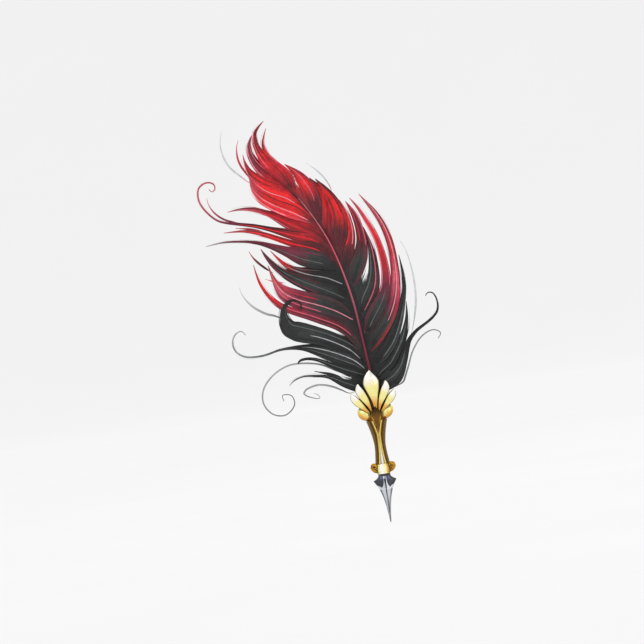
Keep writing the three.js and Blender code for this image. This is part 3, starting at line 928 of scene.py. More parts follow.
@dataclass
class Guides:
    """Centre lines of strands, with their girth and paint."""

    places: list[Array] = field(default_factory=list)
    girths: list[Array] = field(default_factory=list)
    paints: list[Array] = field(default_factory=list)
    tones: list[float] = field(default_factory=list)

    def add(self, places: Array, girth: Array, paint: Array, tone: float = 0.0) -> None:
        """Adds one strand.

        Args:
            places: (n, 3) centre line.
            girth: (n,) radius at each point.
            paint: one colour, or (n, 3) colours.
            tone: shade shift.
        """
        self.places.append(places)
        self.girths.append(np.broadcast_to(girth, len(places)))
        self.paints.append(np.broadcast_to(paint, (len(places), 3)))
        self.tones.append(tone)

    def mesh_with(self, name: str, sheet: Draft | None) -> bpy.types.Mesh:
        """Makes the mesh that the strand tree takes.

        Args:
            name: the mesh's name.
            sheet: closed faces that pass through the tree, if any.

        Returns:
            A mesh of faces and marked guide edges.
        """
        points = [*(sheet.points if sheet else []), *self.places]
        paints = [*(sheet.paint if sheet else []), *self.paints]
        tones = [*(sheet.tone if sheet else [])]
        start = sheet.count if sheet else 0
        edges: list[list[int]] = []
        for places, tone in zip(self.places, self.tones):
            numbers = np.arange(start, start + len(places))
            edges.extend(np.stack([numbers[:-1], numbers[1:]], -1).tolist())
            tones.append(np.full(len(places), tone))
            start += len(places)
        mesh = bpy.data.meshes.new(name)
        mesh.from_pydata(np.concatenate(points).tolist(), edges, sheet.faces if sheet else [])
        paint_on(mesh, np.concatenate(paints), np.concatenate(tones))
        held = sheet.count if sheet else 0
        marked = np.arange(start) >= held
        mesh.attributes.new("guide", "BOOLEAN", "POINT").data.foreach_set("value", marked)
        girth = np.concatenate([np.zeros(held), *self.girths]).astype(np.float32)
        mesh.attributes.new("girth", "FLOAT", "POINT").data.foreach_set("value", girth)
        return mesh


# ---------------------------------------------------------------- plume


@dataclass(frozen=True)
class Strand:
    """A single strand that stands out of a lock: its lane, its run, its dye and its girth. Pale strands
    (BLUSH, ROSE, ASH, SLATE) are painted highlight lines along the barbs; the others are barbs of another
    dye.
    """

    lane: float
    start: float
    end: float
    dye: Dye
    girth: float = 0.42


@dataclass(frozen=True)
class Look:
    """How a lock is dyed along its run, the painted shade and edge tints on its two sides, and which strands
    stand out.
    """

    stops: tuple[tuple[float, Dye], ...]
    # low: dye of the lane -1 edge, the side that lies under its neighbour; partly the lock's own edge colour,
    # partly painted shade.
    low: Dye = MAROON
    # high: dye of the lane 1 edge; partly the lock's own rim colour, partly painted edge shade.
    high: Dye = MAROON
    low_weight: float = 0.6
    high_weight: float = 0.45
    strands: tuple[Strand, ...] = ()
    forward: float = 0.0

    def paint(self, run: Array, lane: Array) -> Array:
        """Colours at shares of the run and lanes from -1 to 1, broadcast together.

        Args:
            run: shares along the length, 0 at the root.
            lane: places across the width, from -1 to 1.

        Returns:
            The colours, one for each pair of places.
        """
        run, lane = np.broadcast_arrays(run, lane)
        base = ramp(run, self.stops)
        # Painted shade: both edges are tinted, the lane -1 edge most, as if shaded under the neighbouring
        # lock; less towards the tip.
        under = self.low_weight * smoothstep(0.25, 1.0, -lane) * (1 - 0.4 * run)
        over = self.high_weight * smoothstep(0.35, 1.0, lane) * (1 - 0.3 * run)
        return tint(tint(base, self.low, under), self.high, over)


S = Strand
# Stops run from the root (0) to the tip (1). The maroon, soot or ink at the root is partly the dye and partly
# painted shade near the quill.
RED_TIP = ((0, MAROON), (0.25, CRIMSON), (0.55, SCARLET), (0.85, CRIMSON), (1, ROSE))
DARK = ((0, INK), (0.3, SOOT), (0.55, CHARCOAL), (0.8, SOOT), (1, CHARCOAL))

LOOKS: dict[str, Look] = {
    "plume_tip_left": Look(
        ((0, MAROON), (0.3, CRIMSON), (0.6, PLUM), (1, ROSE)),
        ROSE, MAROON, 0.6, 0.5,
        (S(-0.75, 0.2, 1, BLUSH), S(0.1, 0.3, 1, MAROON), S(0.5, 0.35, 0.98, ROSE)),
    ),
    "plume_tip_middle": Look(
        RED_TIP,
        MAROON, CRIMSON, 0.35, 0.2,
        (S(-0.55, 0.35, 1, ROSE), S(-0.2, 0.45, 1, MAROON), S(0.7, 0.3, 0.9, MAROON)),
    ),
    "plume_tip_right": Look(
        ((0, MAROON), (0.35, SCARLET), (0.75, CRIMSON), (1, ROSE)),
        MAROON, ROSE, 0.5, 0.4,
        (S(0.75, 0.45, 1, BLUSH), S(-0.5, 0.3, 0.9, MAROON)),
    ),
    "barb_right_01": Look(
        ((0, MAROON), (0.3, MAROON), (0.6, SCARLET), (1, CRIMSON)),
        MAROON, MAROON, 0.6, 0.7,
        (S(0.1, 0.3, 0.95, ROSE, 0.5), S(0.8, 0.2, 0.9, PLUM)),
    ),
    "barb_right_02": Look(
        ((0, MAROON), (0.35, CRIMSON), (0.7, SCARLET), (1, MAROON)),
        MAROON, MAROON, 0.5, 0.5,
        (S(-0.8, 0.3, 0.95, ROSE), S(0.85, 0.4, 1, INK)),
    ),
    "barb_right_03": Look(
        ((0, MAROON), (0.25, MAROON), (0.5, SCARLET), (0.8, SCARLET), (1, MAROON)),
        MAROON, MAROON, 0.55, 0.4,
        (S(-0.5, 0.2, 0.8, MAROON, 0.5), S(0.9, 0.5, 1, INK), S(0.45, 0.45, 0.9, MAROON)),
    ),
    "barb_right_04": Look(
        ((0, SOOT), (0.25, MAROON), (0.55, CRIMSON), (0.8, SCARLET), (1, ROSE)),
        MAROON, MAROON, 0.5, 0.5,
        (S(0.55, 0.35, 1, BLUSH, 0.5), S(-0.3, 0.3, 0.9, SCARLET), S(-0.9, 0.4, 0.95, MAROON)),
    ),
    "barb_right_05": Look(
        ((0, SOOT), (0.3, CHARCOAL), (0.5, MAROON), (0.8, PLUM), (1, ROSE)),
        MAROON, PLUM, 0.4, 0.6,
        (S(-0.3, 0.5, 1, CRIMSON, 0.5), S(0.8, 0.45, 1, ROSE)),
    ),
    "barb_right_06": Look(
        ((0, SOOT), (0.35, CHARCOAL), (0.7, SOOT), (1, PLUM)),
        INK, PLUM, 0.6, 0.5,
        (S(0.35, 0.05, 0.95, ROSE, 0.5), S(-0.5, 0.1, 0.8, SLATE)),
    ),
    "barb_right_07": Look(
        ((0, INK), (0.22, CHARCOAL), (0.36, PLUM), (0.5, CRIMSON), (0.7, SCARLET), (1, ROSE)),
        PLUM, MAROON, 0.5, 0.35,
        (S(0.75, 0.35, 1, ROSE), S(-0.8, 0.3, 0.9, BLUSH, 0.35), S(0.1, 0.05, 0.35, SLATE)),
    ),
    "barb_right_08": Look(
        ((0, INK), (0.2, CHARCOAL), (0.3, PLUM), (0.45, ROSE), (0.6, CRIMSON), (1, ROSE)),
        MAROON, CRIMSON, 0.4, 0.5,
        (S(0.25, 0.2, 1, BLUSH, 0.5), S(-0.75, 0.3, 0.95, PLUM), S(0.85, 0.4, 0.95, MAROON)),
    ),
    "barb_right_09": Look(
        DARK,
        INK, SLATE, 0.9, 0.25,
        (S(0.0, 0.05, 0.7, INK, 0.55), S(0.5, 0.1, 0.6, SLATE)),
    ),
    "barb_right_10": Look(
        DARK,
        INK, INK, 0.9, 0.7,
        (S(-0.1, 0.05, 0.8, SLATE), S(0.6, 0.1, 0.9, INK, 0.55)),
    ),
    "barb_right_11": Look(
        ((0, INK), (0.2, CHARCOAL), (0.45, INK), (0.8, SOOT), (1, CHARCOAL)),
        INK, INK, 0.9, 0.7,
        (S(-0.2, 0.03, 0.4, SLATE), S(0.5, 0.05, 0.5, INK, 0.55)),
    ),
    "barb_right_12": Look(
        DARK,
        INK, INK, 0.9, 0.7,
        (S(0.2, 0.1, 0.9, SLATE, 0.35),),
    ),
    "barb_left_15": Look(
        RED_TIP,
        ROSE, MAROON, 0.6, 0.5,
        (S(-0.8, 0.3, 1, BLUSH), S(0.6, 0.2, 0.9, MAROON), S(-0.2, 0.3, 0.9, MAROON, 0.35)),
    ),
    "barb_left_14": Look(
        ((0, MAROON), (0.3, SCARLET), (0.7, SCARLET), (1, ROSE)),
        ROSE, MAROON, 0.5, 0.4,
        (S(0.1, 0.1, 0.85, BLUSH), S(-0.85, 0.3, 1, BLUSH)),
    ),
    "barb_left_13": Look(
        ((0, MAROON), (0.25, SCARLET), (0.7, SCARLET), (1, ROSE)),
        ROSE, CRIMSON, 0.45, 0.2,
        (S(-0.25, 0.05, 0.9, BLUSH, 0.5), S(0.6, 0.1, 0.9, MAROON), S(-0.85, 0.35, 1, BLUSH)),
    ),
    "barb_left_12": Look(
        ((0, MAROON), (0.3, CRIMSON), (0.6, CRIMSON), (0.8, ROSE), (1, BLUSH)),
        MAROON, MAROON, 0.6, 0.4,
        (S(0.5, 0.3, 0.95, MAROON), S(-0.3, 0.1, 0.7, SCARLET), S(-0.85, 0.3, 0.9, ROSE)),
    ),
    "barb_left_11": Look(
        ((0, MAROON), (0.15, CRIMSON), (0.35, MAROON), (0.55, PLUM), (0.75, ROSE), (1, ROSE)),
        MAROON, MAROON, 0.5, 0.4,
        (S(-0.2, 0.05, 0.5, SCARLET), S(0.6, 0.1, 0.5, INK, 0.35)),
    ),
    "barb_left_10": Look(
        ((0, MAROON), (0.25, MAROON), (0.5, SCARLET), (0.8, ROSE), (1, ROSE)),
        MAROON, INK, 0.4, 0.35,
        (S(0.5, 0.1, 0.95, MAROON), S(-0.1, 0.05, 0.95, SCARLET, 0.5)),
    ),
    "barb_left_09": Look(
        ((0, INK), (0.2, CHARCOAL), (0.36, PLUM), (0.6, MAROON), (0.8, PLUM), (1, MIST)),
        INK, MAROON, 0.5, 0.5,
        (S(0.55, 0.15, 0.7, PLUM, 0.5), S(-0.3, 0.1, 0.5, SLATE)),
    ),
    "barb_left_08": Look(
        ((0, INK), (0.35, SOOT), (0.6, MAROON), (0.8, SCARLET), (1, ROSE)),
        INK, MAROON, 0.5, 0.4,
        (S(-0.1, 0.0, 0.75, ASH, 0.45), S(0.6, 0.1, 0.7, SLATE, 0.35)),
    ),
    "barb_left_07": Look(
        ((0, INK), (0.4, CHARCOAL), (0.7, SOOT), (1, PLUM)),
        INK, INK, 0.9, 0.7,
        (S(0.1, 0.05, 0.85, SLATE), S(-0.6, 0.3, 1, PLUM), S(0.7, 0.3, 1, MAROON)),
    ),
    "barb_left_06": Look(
        ((0, INK), (0.35, CHARCOAL), (0.55, PLUM), (0.8, ROSE), (1, CRIMSON)),
        PLUM, MAROON, 0.35, 0.3,
        (S(-0.05, 0.0, 1, BLUSH, 0.5), S(0.45, 0.35, 1, CRIMSON), S(-0.55, 0.3, 0.95, ROSE)),
    ),
    "barb_left_05": Look(
        ((0, SOOT), (0.25, MAROON), (0.45, PLUM), (0.65, CRIMSON), (0.85, SCARLET), (1, CRIMSON)),
        MAROON, MAROON, 0.5, 0.3,
        (S(0.2, 0.1, 0.7, ROSE), S(-0.6, 0.2, 0.8, PLUM)),
    ),
    "barb_left_04": Look(
        ((0, INK), (0.25, SOOT), (0.45, CHARCOAL), (0.65, SOOT), (1, INK)),
        INK, INK, 0.5, 0.5,
        (S(-0.15, 0.02, 0.5, ASH, 0.45), S(0.5, 0.05, 0.8, SLATE), S(-0.6, 0.1, 0.6, INK, 0.55)),
        3.2,
    ),
    "barb_left_03": Look(
        ((0, INK), (0.2, CHARCOAL), (0.4, INK), (0.6, SLATE), (1, MIST)),
        INK, INK, 0.6, 0.4,
        (S(0.2, 0.0, 0.4, ASH, 0.45), S(-0.4, 0.02, 0.4, SLATE, 0.35)),
    ),
    "barb_left_02": Look(
        ((0, INK), (0.3, SOOT), (0.6, INK), (1, INK)),
        INK, INK, 0.85, 0.6,
        (S(0.1, 0.05, 0.8, SLATE, 0.35),),
    ),
    "barb_left_01": Look(
        ((0, INK), (0.3, SOOT), (0.6, INK), (0.8, SLATE), (1, ASH)),
        INK, INK, 0.85, 0.6,
        (S(0.1, 0.05, 0.6, SLATE, 0.35),),
    ),
}


@dataclass
class Lock:
    """One lock of barbs: a thin cambered sheet under two faces of fine strands."""

    node: str
    look: Look
    seed: int
    step: float = 1.7 * MM
    pitch: float = 0.62 * MM
    sheet: float = 0.3 * MM
    camber: float = 0.13
    lanes: int = 13

    def mesh(self, tree: StrandTree, material: bpy.types.Material) -> bpy.types.Mesh:
        """Builds the lock's sheet and barbs.

        Args:
            tree: sweeps the strands.
            material: the lock's finish.

        Returns:
            One plain mesh.
        """
        rough = Ribbon.of_node(self.node)
        ribbon = rough.resampled(max(int(rough.length / self.step), 24))
        run = np.linspace(0, 1, len(ribbon.middle))
        ahead = self.look.forward * MM * smoothstep(0.0, 0.35, run)
        for rail in (ribbon.left, ribbon.middle, ribbon.right):
            rail[:, 1] -= ahead
        sheet = self._sheet(ribbon, run)
        guides = self._barbs(ribbon, run)
        return tree.apply(guides.mesh_with(self.node, sheet), material, 5, 0.1, self.seed)

    def _arch(self, ribbon: Ribbon, lane: Array) -> Array:
        """How far the lock's middle stands in front of its edges."""
        return self.camber * ribbon.half[:, None] * (1 - lane**2)

    def _sheet(self, ribbon: Ribbon, run: Array) -> Draft:
        """Builds the sheet that closes the lock behind its barbs.

        Args:
            ribbon: the lock's middle line and widths.
            run: shares along the length, 0 at the root.

        Returns:
            The sheet, painted.
        """
        lane = np.linspace(-1, 1, self.lanes)
        middle = ribbon.at(lane * 0.92)
        middle[..., 1] -= self._arch(ribbon, lane)
        wall = self.sheet / 2 * (1 - 0.5 * lane**2)
        front, back = middle.copy(), middle.copy()
        front[..., 1] -= wall
        back[..., 1] += wall
        # The sheet takes 0.7 of the lock's paint: painted shade seen in the gaps between the barbs.
        paint = self.look.paint(run[:, None], lane[None]) * 0.7
        draft = Draft()
        draft.shell(front, back, paint, paint)
        return draft

    def _barbs(self, ribbon: Ribbon, run: Array) -> Guides:
        """Lays strands side by side over both faces, and the strands that stand out.

        Args:
            ribbon: the lock's middle line and widths.
            run: shares along the length, 0 at the root.

        Returns:
            The guides of every strand.
        """
        rng = np.random.default_rng(self.seed)
        count = max(int(2 * ribbon.half.max() / self.pitch), 5)
        rough_tone = rng.uniform(-1, 1, count // 3 + 3)
        guides = Guides()
        spacing = 2 * ribbon.half / count
        for side in (-1, 1):
            for number in range(count):
                lane = -1 + 2 * (number + 0.5 + rng.uniform(-0.2, 0.2)) / count
                outer = abs(lane) > 0.72
                start = rng.uniform(0.0, 0.03)
                end = rng.uniform(0.72, 0.97) if outer else rng.uniform(0.9, 1.0)
                flare = rng.uniform(0.2, 1.5) * MM if outer and rng.random() < 0.4 else 0.0
                tone = 0.2 * np.interp(number / 3, np.arange(len(rough_tone)), rough_tone)
                tone += rng.uniform(-0.06, 0.06)
                # Every sixth inner strand is darkened: painted shade in the gap between sub-locks.
                tone -= 0.3 if number % 6 == 3 and not outer else 0.0
                girth = spacing * 0.66
                self._strand(guides, ribbon, run, side, lane, (start, end), girth, flare, tone, None, rng)
            # Standout strands: the pale ones are painted highlight lines, the others barbs of another dye.
            for strand in self.look.strands:
                girth = np.minimum(strand.girth * MM, ribbon.half * 0.35 + 0.08 * MM)
                limits = (strand.start, strand.end)
                self._strand(guides, ribbon, run, side, strand.lane, limits, girth, 0.0, 0.0, strand.dye, rng)
        return guides

    def _strand(
        self,
        guides: Guides,
        ribbon: Ribbon,
        run: Array,
        side: int,
        lane: float,
        limits: tuple[float, float],
        girth: Array,
        flare: float,
        tone: float,
        dye: Dye | None,
        rng: np.random.Generator,
    ) -> None:
        """Adds one strand to the guides.

        Args:
            guides: takes the strand.
            ribbon: the lock's rails.
            run: share of the run at each station.
            side: -1 on the front face, 1 on the back.
            lane: where the strand lies across the lock.
            limits: where it starts and ends along the run.
            girth: radius at each station.
            flare: how far its end leaves the lock's edge.
            tone: shade shift.
            dye: its own dye, or None for the lock's.
            rng: the lock's random numbers.
        """
        first = int(round(limits[0] * (len(run) - 1)))
        last = max(int(round(limits[1] * (len(run) - 1))), first + 4)
        keep = slice(first, min(last, len(run) - 1) + 1)
        sway = 0.025 * np.sin(run * rng.uniform(4, 9) + rng.uniform(0, 6))
        lanes = (lane + sway)[:, None]
        places = ribbon.at(lanes)[:, 0]
        arch = self._arch(ribbon, lanes)[:, 0]
        lift = self.sheet * (0.5 if dye is None else 1.0)
        places[:, 1] += side * lift - arch + rng.uniform(-0.05, 0.05) * MM
        own = (run[keep] - run[keep][0]) / max(run[keep][-1] - run[keep][0], 1e-6)
        if flare:
            across = ribbon.right - ribbon.left
            across /= np.linalg.norm(across, axis=1)[:, None]
            away = np.sign(lane) * flare * smoothstep(0.55, 1.0, own) ** 1.5
            places[keep] += across[keep] * away[:, None]
        taper = np.minimum(smoothstep(-0.12, 0.1, own), 1 - 0.85 * smoothstep(0.72, 1.0, own))
        radius = np.clip(girth[keep], 0.07 * MM, 0.46 * MM) * taper
        paint = self.look.paint(run, lane)[keep] if dye is None else dye.linear
        guides.add(places[keep], np.maximum(radius, 0.03 * MM), paint, tone)


@dataclass
class UnderVane:
    """Short barbs from the quill outwards that close the vane between the locks' roots."""

    name: str
    locks: tuple[str, ...]
    quill: Array
    side: int
    reach: float = 30 * MM
    steps: int = 20
    pitch: float = 0.62 * MM
    sheet: float = 0.3 * MM

    def _path(self, node: str) -> tuple[Array, Array, Array]:
        """The first stretch of a lock's middle, led back to the quill, its dyes and half widths.

        Args:
            node: name of the CAD node.

        Returns:
            The places, their dyes and their half widths.
        """
        rough = Ribbon.of_node(node)
        reach = min(self.reach, 0.45 * rough.length)
        ribbon = rough.resampled(200)
        share = reach / rough.length
        line = ribbon.middle[: int(200 * share)]
        root = line[0]
        drop = 7.0 * MM if node.startswith("plume_tip") else 2.2 * MM
        height = min(root[2] - drop, self.quill[-1, 2] - 1.5 * MM)
        x = np.interp(height, self.quill[:, 2], self.quill[:, 0])
        y = np.interp(height, self.quill[:, 2], self.quill[:, 1])
        line = np.concatenate([[[x + self.side * 0.3 * MM, y, height]], line])
        line = resample(line, self.steps)
        run = np.linspace(0, share, self.steps)
        half = np.interp(run, np.linspace(0, 1, 200), ribbon.half)
        return line, LOOKS[node].paint(run, 0.0 * run), half

    def mesh(self, tree: StrandTree, material: bpy.types.Material, seed: int) -> bpy.types.Mesh:
        """Builds the sheet and its barbs between each lock and the next.

        Args:
            tree: sweeps the strands.
            material: the finish.
            seed: fixes the random draws.

        Returns:
            One plain mesh.
        """
        rng = np.random.default_rng(seed)
        guides, draft = Guides(), Draft()
        paths = [self._path(node) for node in self.locks]
        for (low, low_dye, low_half), (high, high_dye, high_half) in zip(paths[:-1], paths[1:]):
            parted = np.linalg.norm(high - low, axis=1) > 1.25 * (low_half + high_half)
            parted[: int(0.8 * self.steps)] = False
            steps = int(parted.argmax()) if parted.any() else self.steps
            low, high, low_dye, high_dye = low[:steps], high[:steps], low_dye[:steps], high_dye[:steps]
            width = max(np.linalg.norm(high[0] - low[0]), np.linalg.norm(high[8] - low[8]))
            part = np.linspace(0, 1, 5)[None, :, None]
            middle = low[:, None] * (1 - part) + high[:, None] * part
            # The sheet takes 0.6 of the locks' paint: painted shade between the barbs.
            dyes = (low_dye[:, None] * (1 - part) + high_dye[:, None] * part) * 0.6
            front, back = middle.copy(), middle.copy()
            front[..., 1] -= self.sheet / 2
            back[..., 1] += self.sheet / 2
            sheet = max(int(0.7 * steps), 6)
            draft.shell(front[:sheet], back[:sheet], dyes[:sheet], dyes[:sheet])
            count = max(int(width / self.pitch), 3)
            for face in (-1, 1):
                for number in range(count):
                    weight = (number + 0.5 + rng.uniform(-0.25, 0.25)) / count
                    line = low * (1 - weight) + high * weight
                    line[:, 1] += face * self.sheet / 2 + rng.uniform(-0.04, 0.04) * MM
                    dye = low_dye * (1 - weight) + high_dye * weight
                    last = steps - int(rng.integers(0, 5))
                    own = np.linspace(0, 1, last)
                    radius = 0.4 * self.pitch * (1 - 0.8 * smoothstep(0.7, 1.0, own))
                    # Random tone, and every sixth strand darker: painted shade between sub-locks.
                    tone = rng.uniform(-0.16, 0.1) - (0.3 if number % 6 == 2 else 0.0)
                    guides.add(line[:last], radius, dye[:last], tone)
        return tree.apply(guides.mesh_with(self.name, draft), material, 5, 0.08, seed)


@dataclass
class Plume:
    """The dyed plume: quill, locks and loose wisps, all lifting out of the holder together."""

    body: str = "plume"
    quill_sides: int = 16
    quill_steps: int = 150
    quill_waist: float = 0.22
    wisp_sides: int = 8
    wisp_depth: float = 2.2 * MM
    surface: Array = field(default_factory=lambda: np.zeros(8))

    def build(self, tree: StrandTree, finishes: Finishes) -> None:
        """Builds every piece of the plume.

        Args:
            tree: sweeps the strands.
            finishes: every finish on the pen.
        """
        self._fit_surface()
        slots = {node: slot for node, slot in node_slots().items() if slot.startswith("barbs_")}
        for seed, (node, look) in enumerate(LOOKS.items(), start=11):
            material = finishes.for_slot(slots[node])
            mesh = Lock(node, look, seed).mesh(tree, material)
            settle(mesh, "lock_" + node.removeprefix("barb_"), material, self.body, (node,))
        quill = rod_stations("rachis")
        quill = quill[np.argsort(quill[:, 2])]
        left = [node for node in sorted(LOOKS) if node.startswith("barb_left")]
        right = [node for node in sorted(LOOKS) if node.startswith("barb_right")]
        chains = (
            ("under_vane_left", (*left, "plume_tip_left", "plume_tip_middle"), -1, 91),
            ("under_vane_right", ("plume_tip_middle", "plume_tip_right", *right), 1, 92),
        )
        for name, locks, side, seed in chains:
            mesh = UnderVane(name, locks, quill, side).mesh(tree, finishes.charcoal, seed)
            settle(mesh, name, finishes.charcoal, self.body)
        self._build_quill(tree, finishes)
        self._build_wisps(tree, finishes)

    def _terms(self, x: Array, z: Array) -> Array:
        """Terms of the smooth surface on which the plume lies."""
        x, z = np.asarray(x) * 10, np.asarray(z) * 10
        return np.stack([np.ones_like(x), x, z, x * x, x * z, z * z, x * z * z, z**3], -1)

    def _fit_surface(self) -> None:
        """Finds the surface that the CAD locks lie on."""
        middles = np.concatenate([Ribbon.of_node(node).middle for node in LOOKS])
        terms = self._terms(middles[:, 0], middles[:, 2])
        self.surface = np.linalg.lstsq(terms, middles[:, 1], rcond=None)[0]

    def _depth(self, x: Array, z: Array) -> Array:
        """Depth of the plume's surface."""
        return self._terms(x, z) @ self.surface

    def _build_quill(self, tree: StrandTree, finishes: Finishes) -> None:
        """Builds the tapered quill with its raised front ridge.

        Args:
            tree: sweeps the strands.
            finishes: every finish on the pen.
        """
        stations = rod_stations("rachis")
        line = resample(stations, self.quill_steps)
        line[:, 3] *= 1 - self.quill_waist * smoothstep(0.1, 0.3, np.linspace(0, 1, self.quill_steps))
        high = (line[:, 2] - line[0, 2]) / (line[-1, 2] - line[0, 2])
        stops = ((0, UMBER), (0.2, MAROON), (0.38, PLUM), (0.5, DUSK), (0.75, ROSE), (1, BLUSH))
        paint = ramp(high, stops)
        guides = Guides()
        # The rod takes 0.8 of the paint; one front ridge is darkened (tone -0.2), the other lightened (tone
        # 0.25): painted shade and a painted highlight down the quill's front.
        guides.add(line[:, :3], line[:, 3], paint * 0.8)
        for offset, width, tone in ((-0.35, 0.42, -0.2), (0.3, 0.36, 0.25)):
            ridge = line[:, :3].copy()
            ridge[:, 0] += offset * line[:, 3]
            ridge[:, 1] -= line[:, 3] * 0.8
            guides.add(ridge[30:], (line[:, 3] * width)[30:], paint[30:], tone)
        mesh = tree.apply(guides.mesh_with("quill", None), finishes.quill, self.quill_sides, 0.03, 3)
        settle(mesh, "quill_shaft", finishes.quill, self.body, ("rachis",))

    def _build_wisps(self, tree: StrandTree, finishes: Finishes) -> None:
        """Builds the loose barbs that curl away behind the vane.

        Args:
            tree: sweeps the strands.
            finishes: every finish on the pen.
        """
        for seed, node in enumerate(("wisp_left", "wisp_right"), start=71):
            stations = rod_stations(node)
            inward = np.array([np.sign(-stations[0, 0]) * 7.0, 2.0, -4.0, 0.0]) * MM
            line = resample(np.concatenate([stations[:1] + inward, stations]), 150)
            run = np.linspace(0, 1, len(line))
            paint = ramp(run, ((0, SLATE), (0.4, ASH), (1, SLATE)))
            guides = Guides()
            girth = line[:, 3] * 1.3 * (1 - 0.45 * run**2) * smoothstep(-0.03, 0.14, run)
            guides.add(line[:, :3], girth, paint)
            mesh = tree.apply(guides.mesh_with(node, None), finishes.ash, self.wisp_sides, 0.03, seed)
            settle(mesh, node + "_barb", finishes.ash, self.body, (node,))
        guides = Guides()
        for wisp in LOOSE_WISPS:
            path = np.array(wisp.path, float) * MM
            depth = self._depth(path[:, 0], path[:, 1]) + self.wisp_depth
            places = np.stack([path[:, 0], depth, path[:, 1]], -1)
            line = resample(places, 110)
            run = np.linspace(0, 1, len(line))
            taper = np.minimum(smoothstep(-0.05, 0.35, run), 1 - 0.75 * smoothstep(0.55, 1, run))
            guides.add(line, 1.4 * wisp.girth * MM * taper, ramp(run, wisp.stops))
        mesh = tree.apply(guides.mesh_with("loose_wisps", None), finishes.ash, self.wisp_sides, 0.05, 73)
        settle(mesh, "loose_wisps", finishes.ash, self.body)


@dataclass(frozen=True)
class Wisp:
    """A loose barb: its path in X and Z, in millimetres, its girth and its dyes."""

    path: tuple[tuple[float, float], ...]
    girth: float
    stops: tuple[tuple[float, Dye], ...]


GREY = ((0, ASH), (0.5, MIST), (1, MIST))
LOOSE_WISPS = (
    Wisp(
        ((-62, 189), (-66, 192), (-71.4, 197.4), (-76, 202.2), (-79.4, 207.6), (-81.2, 213), (-82, 219),
        (-81.4, 225), (-79.5, 230.7)),
        0.5,
        ((0, ROSE), (0.3, MIST), (1, MIST)),
    ),
    Wisp(
        ((-62, 191), (-65, 195.3), (-67, 199), (-69.6, 204), (-71, 209), (-71.2, 214), (-70.4, 219),
        (-69, 222.3)),
        0.55,
        ((0, MAROON), (0.5, CRIMSON), (1, ROSE)),
    ),
    Wisp(
        ((-70, 162), (-79.2, 165), (-87, 168.6), (-91.2, 172.2), (-94.2, 176.4), (-96, 181.2),
        (-96.4, 184.5)),
        0.5,
        ((0, MAROON), (0.5, PLUM), (1, ROSE)),
    ),
    Wisp(
        ((-57, 126), (-60.3, 128.4), (-63, 130.8), (-66.6, 134.4), (-70.2, 139.2), (-72.3, 143.4)),
        0.6,
        ((0, INK), (0.6, MAROON), (1, CRIMSON)),
    ),
    Wisp(
        ((-50, 93.5), (-57.6, 94.8), (-60.6, 96.3), (-65.4, 98.1), (-70.8, 101.4), (-75.6, 105.6),
        (-79.2, 110.4), (-81.6, 115.8), (-82.2, 119.4)),
        0.6,
        ((0, SLATE), (0.5, ASH), (1, MIST)),
    ),
    Wisp(
        ((-9, 37), (-16.2, 35.4), (-21, 38.1), (-27, 41.4), (-33, 43.5), (-37.8, 44.1), (-42.6, 43.2),
        (-46.2, 41.7), (-47.7, 39.6), (-46.2, 37.8), (-42.6, 36), (-39, 34.8), (-37.2, 34.8),
        (-37.8, 36.9), (-40.5, 38.7)),
        0.5,
        ((0, SLATE), (0.5, ASH), (1, SLATE)),
    ),
    Wisp(
        ((31, 68), (33, 72), (34.8, 76.8), (37.2, 85.2), (39, 94.2), (39.6, 103.2), (39.3, 112.8),
        (38.4, 121.2), (36.6, 129.6), (33.9, 136.2)),
        0.5,
        GREY,
    ),
    Wisp(
        ((-10, 175), (-9, 178.8), (-9.6, 181.2), (-11.4, 185.4), (-14.4, 190.2), (-19.2, 195.6),
        (-24, 199.8)),
        0.4,
        ((0, ROSE), (0.4, MIST), (1, MIST)),
    ),
    Wisp(
        ((-14, 43), (-19.5, 45.6), (-22.8, 48), (-27, 50.1), (-33, 52.2), (-38.4, 54)),
        0.8,
        ((0, INK), (1, SOOT)),
    ),
    Wisp(
        ((-56, 151.5), (-62, 156), (-69, 158.7), (-75, 160), (-79.2, 160.8)),
        0.6,
        ((0, MAROON), (1, CRIMSON)),
    ),
    Wisp(
        ((-50, 118), (-56, 119.5), (-60, 121), (-63.6, 122.7)),
        0.45,
        ((0, ROSE), (1, BLUSH)),
    ),
)


# ---------------------------------------------------------------- crown


def bored(inner: float, outer: Profile, low: float, high: float) -> Profile:
    """A closed turning profile from a bore's radius and ends and an outer line that rises."""
    return [(inner, low), *outer, (inner, high)]


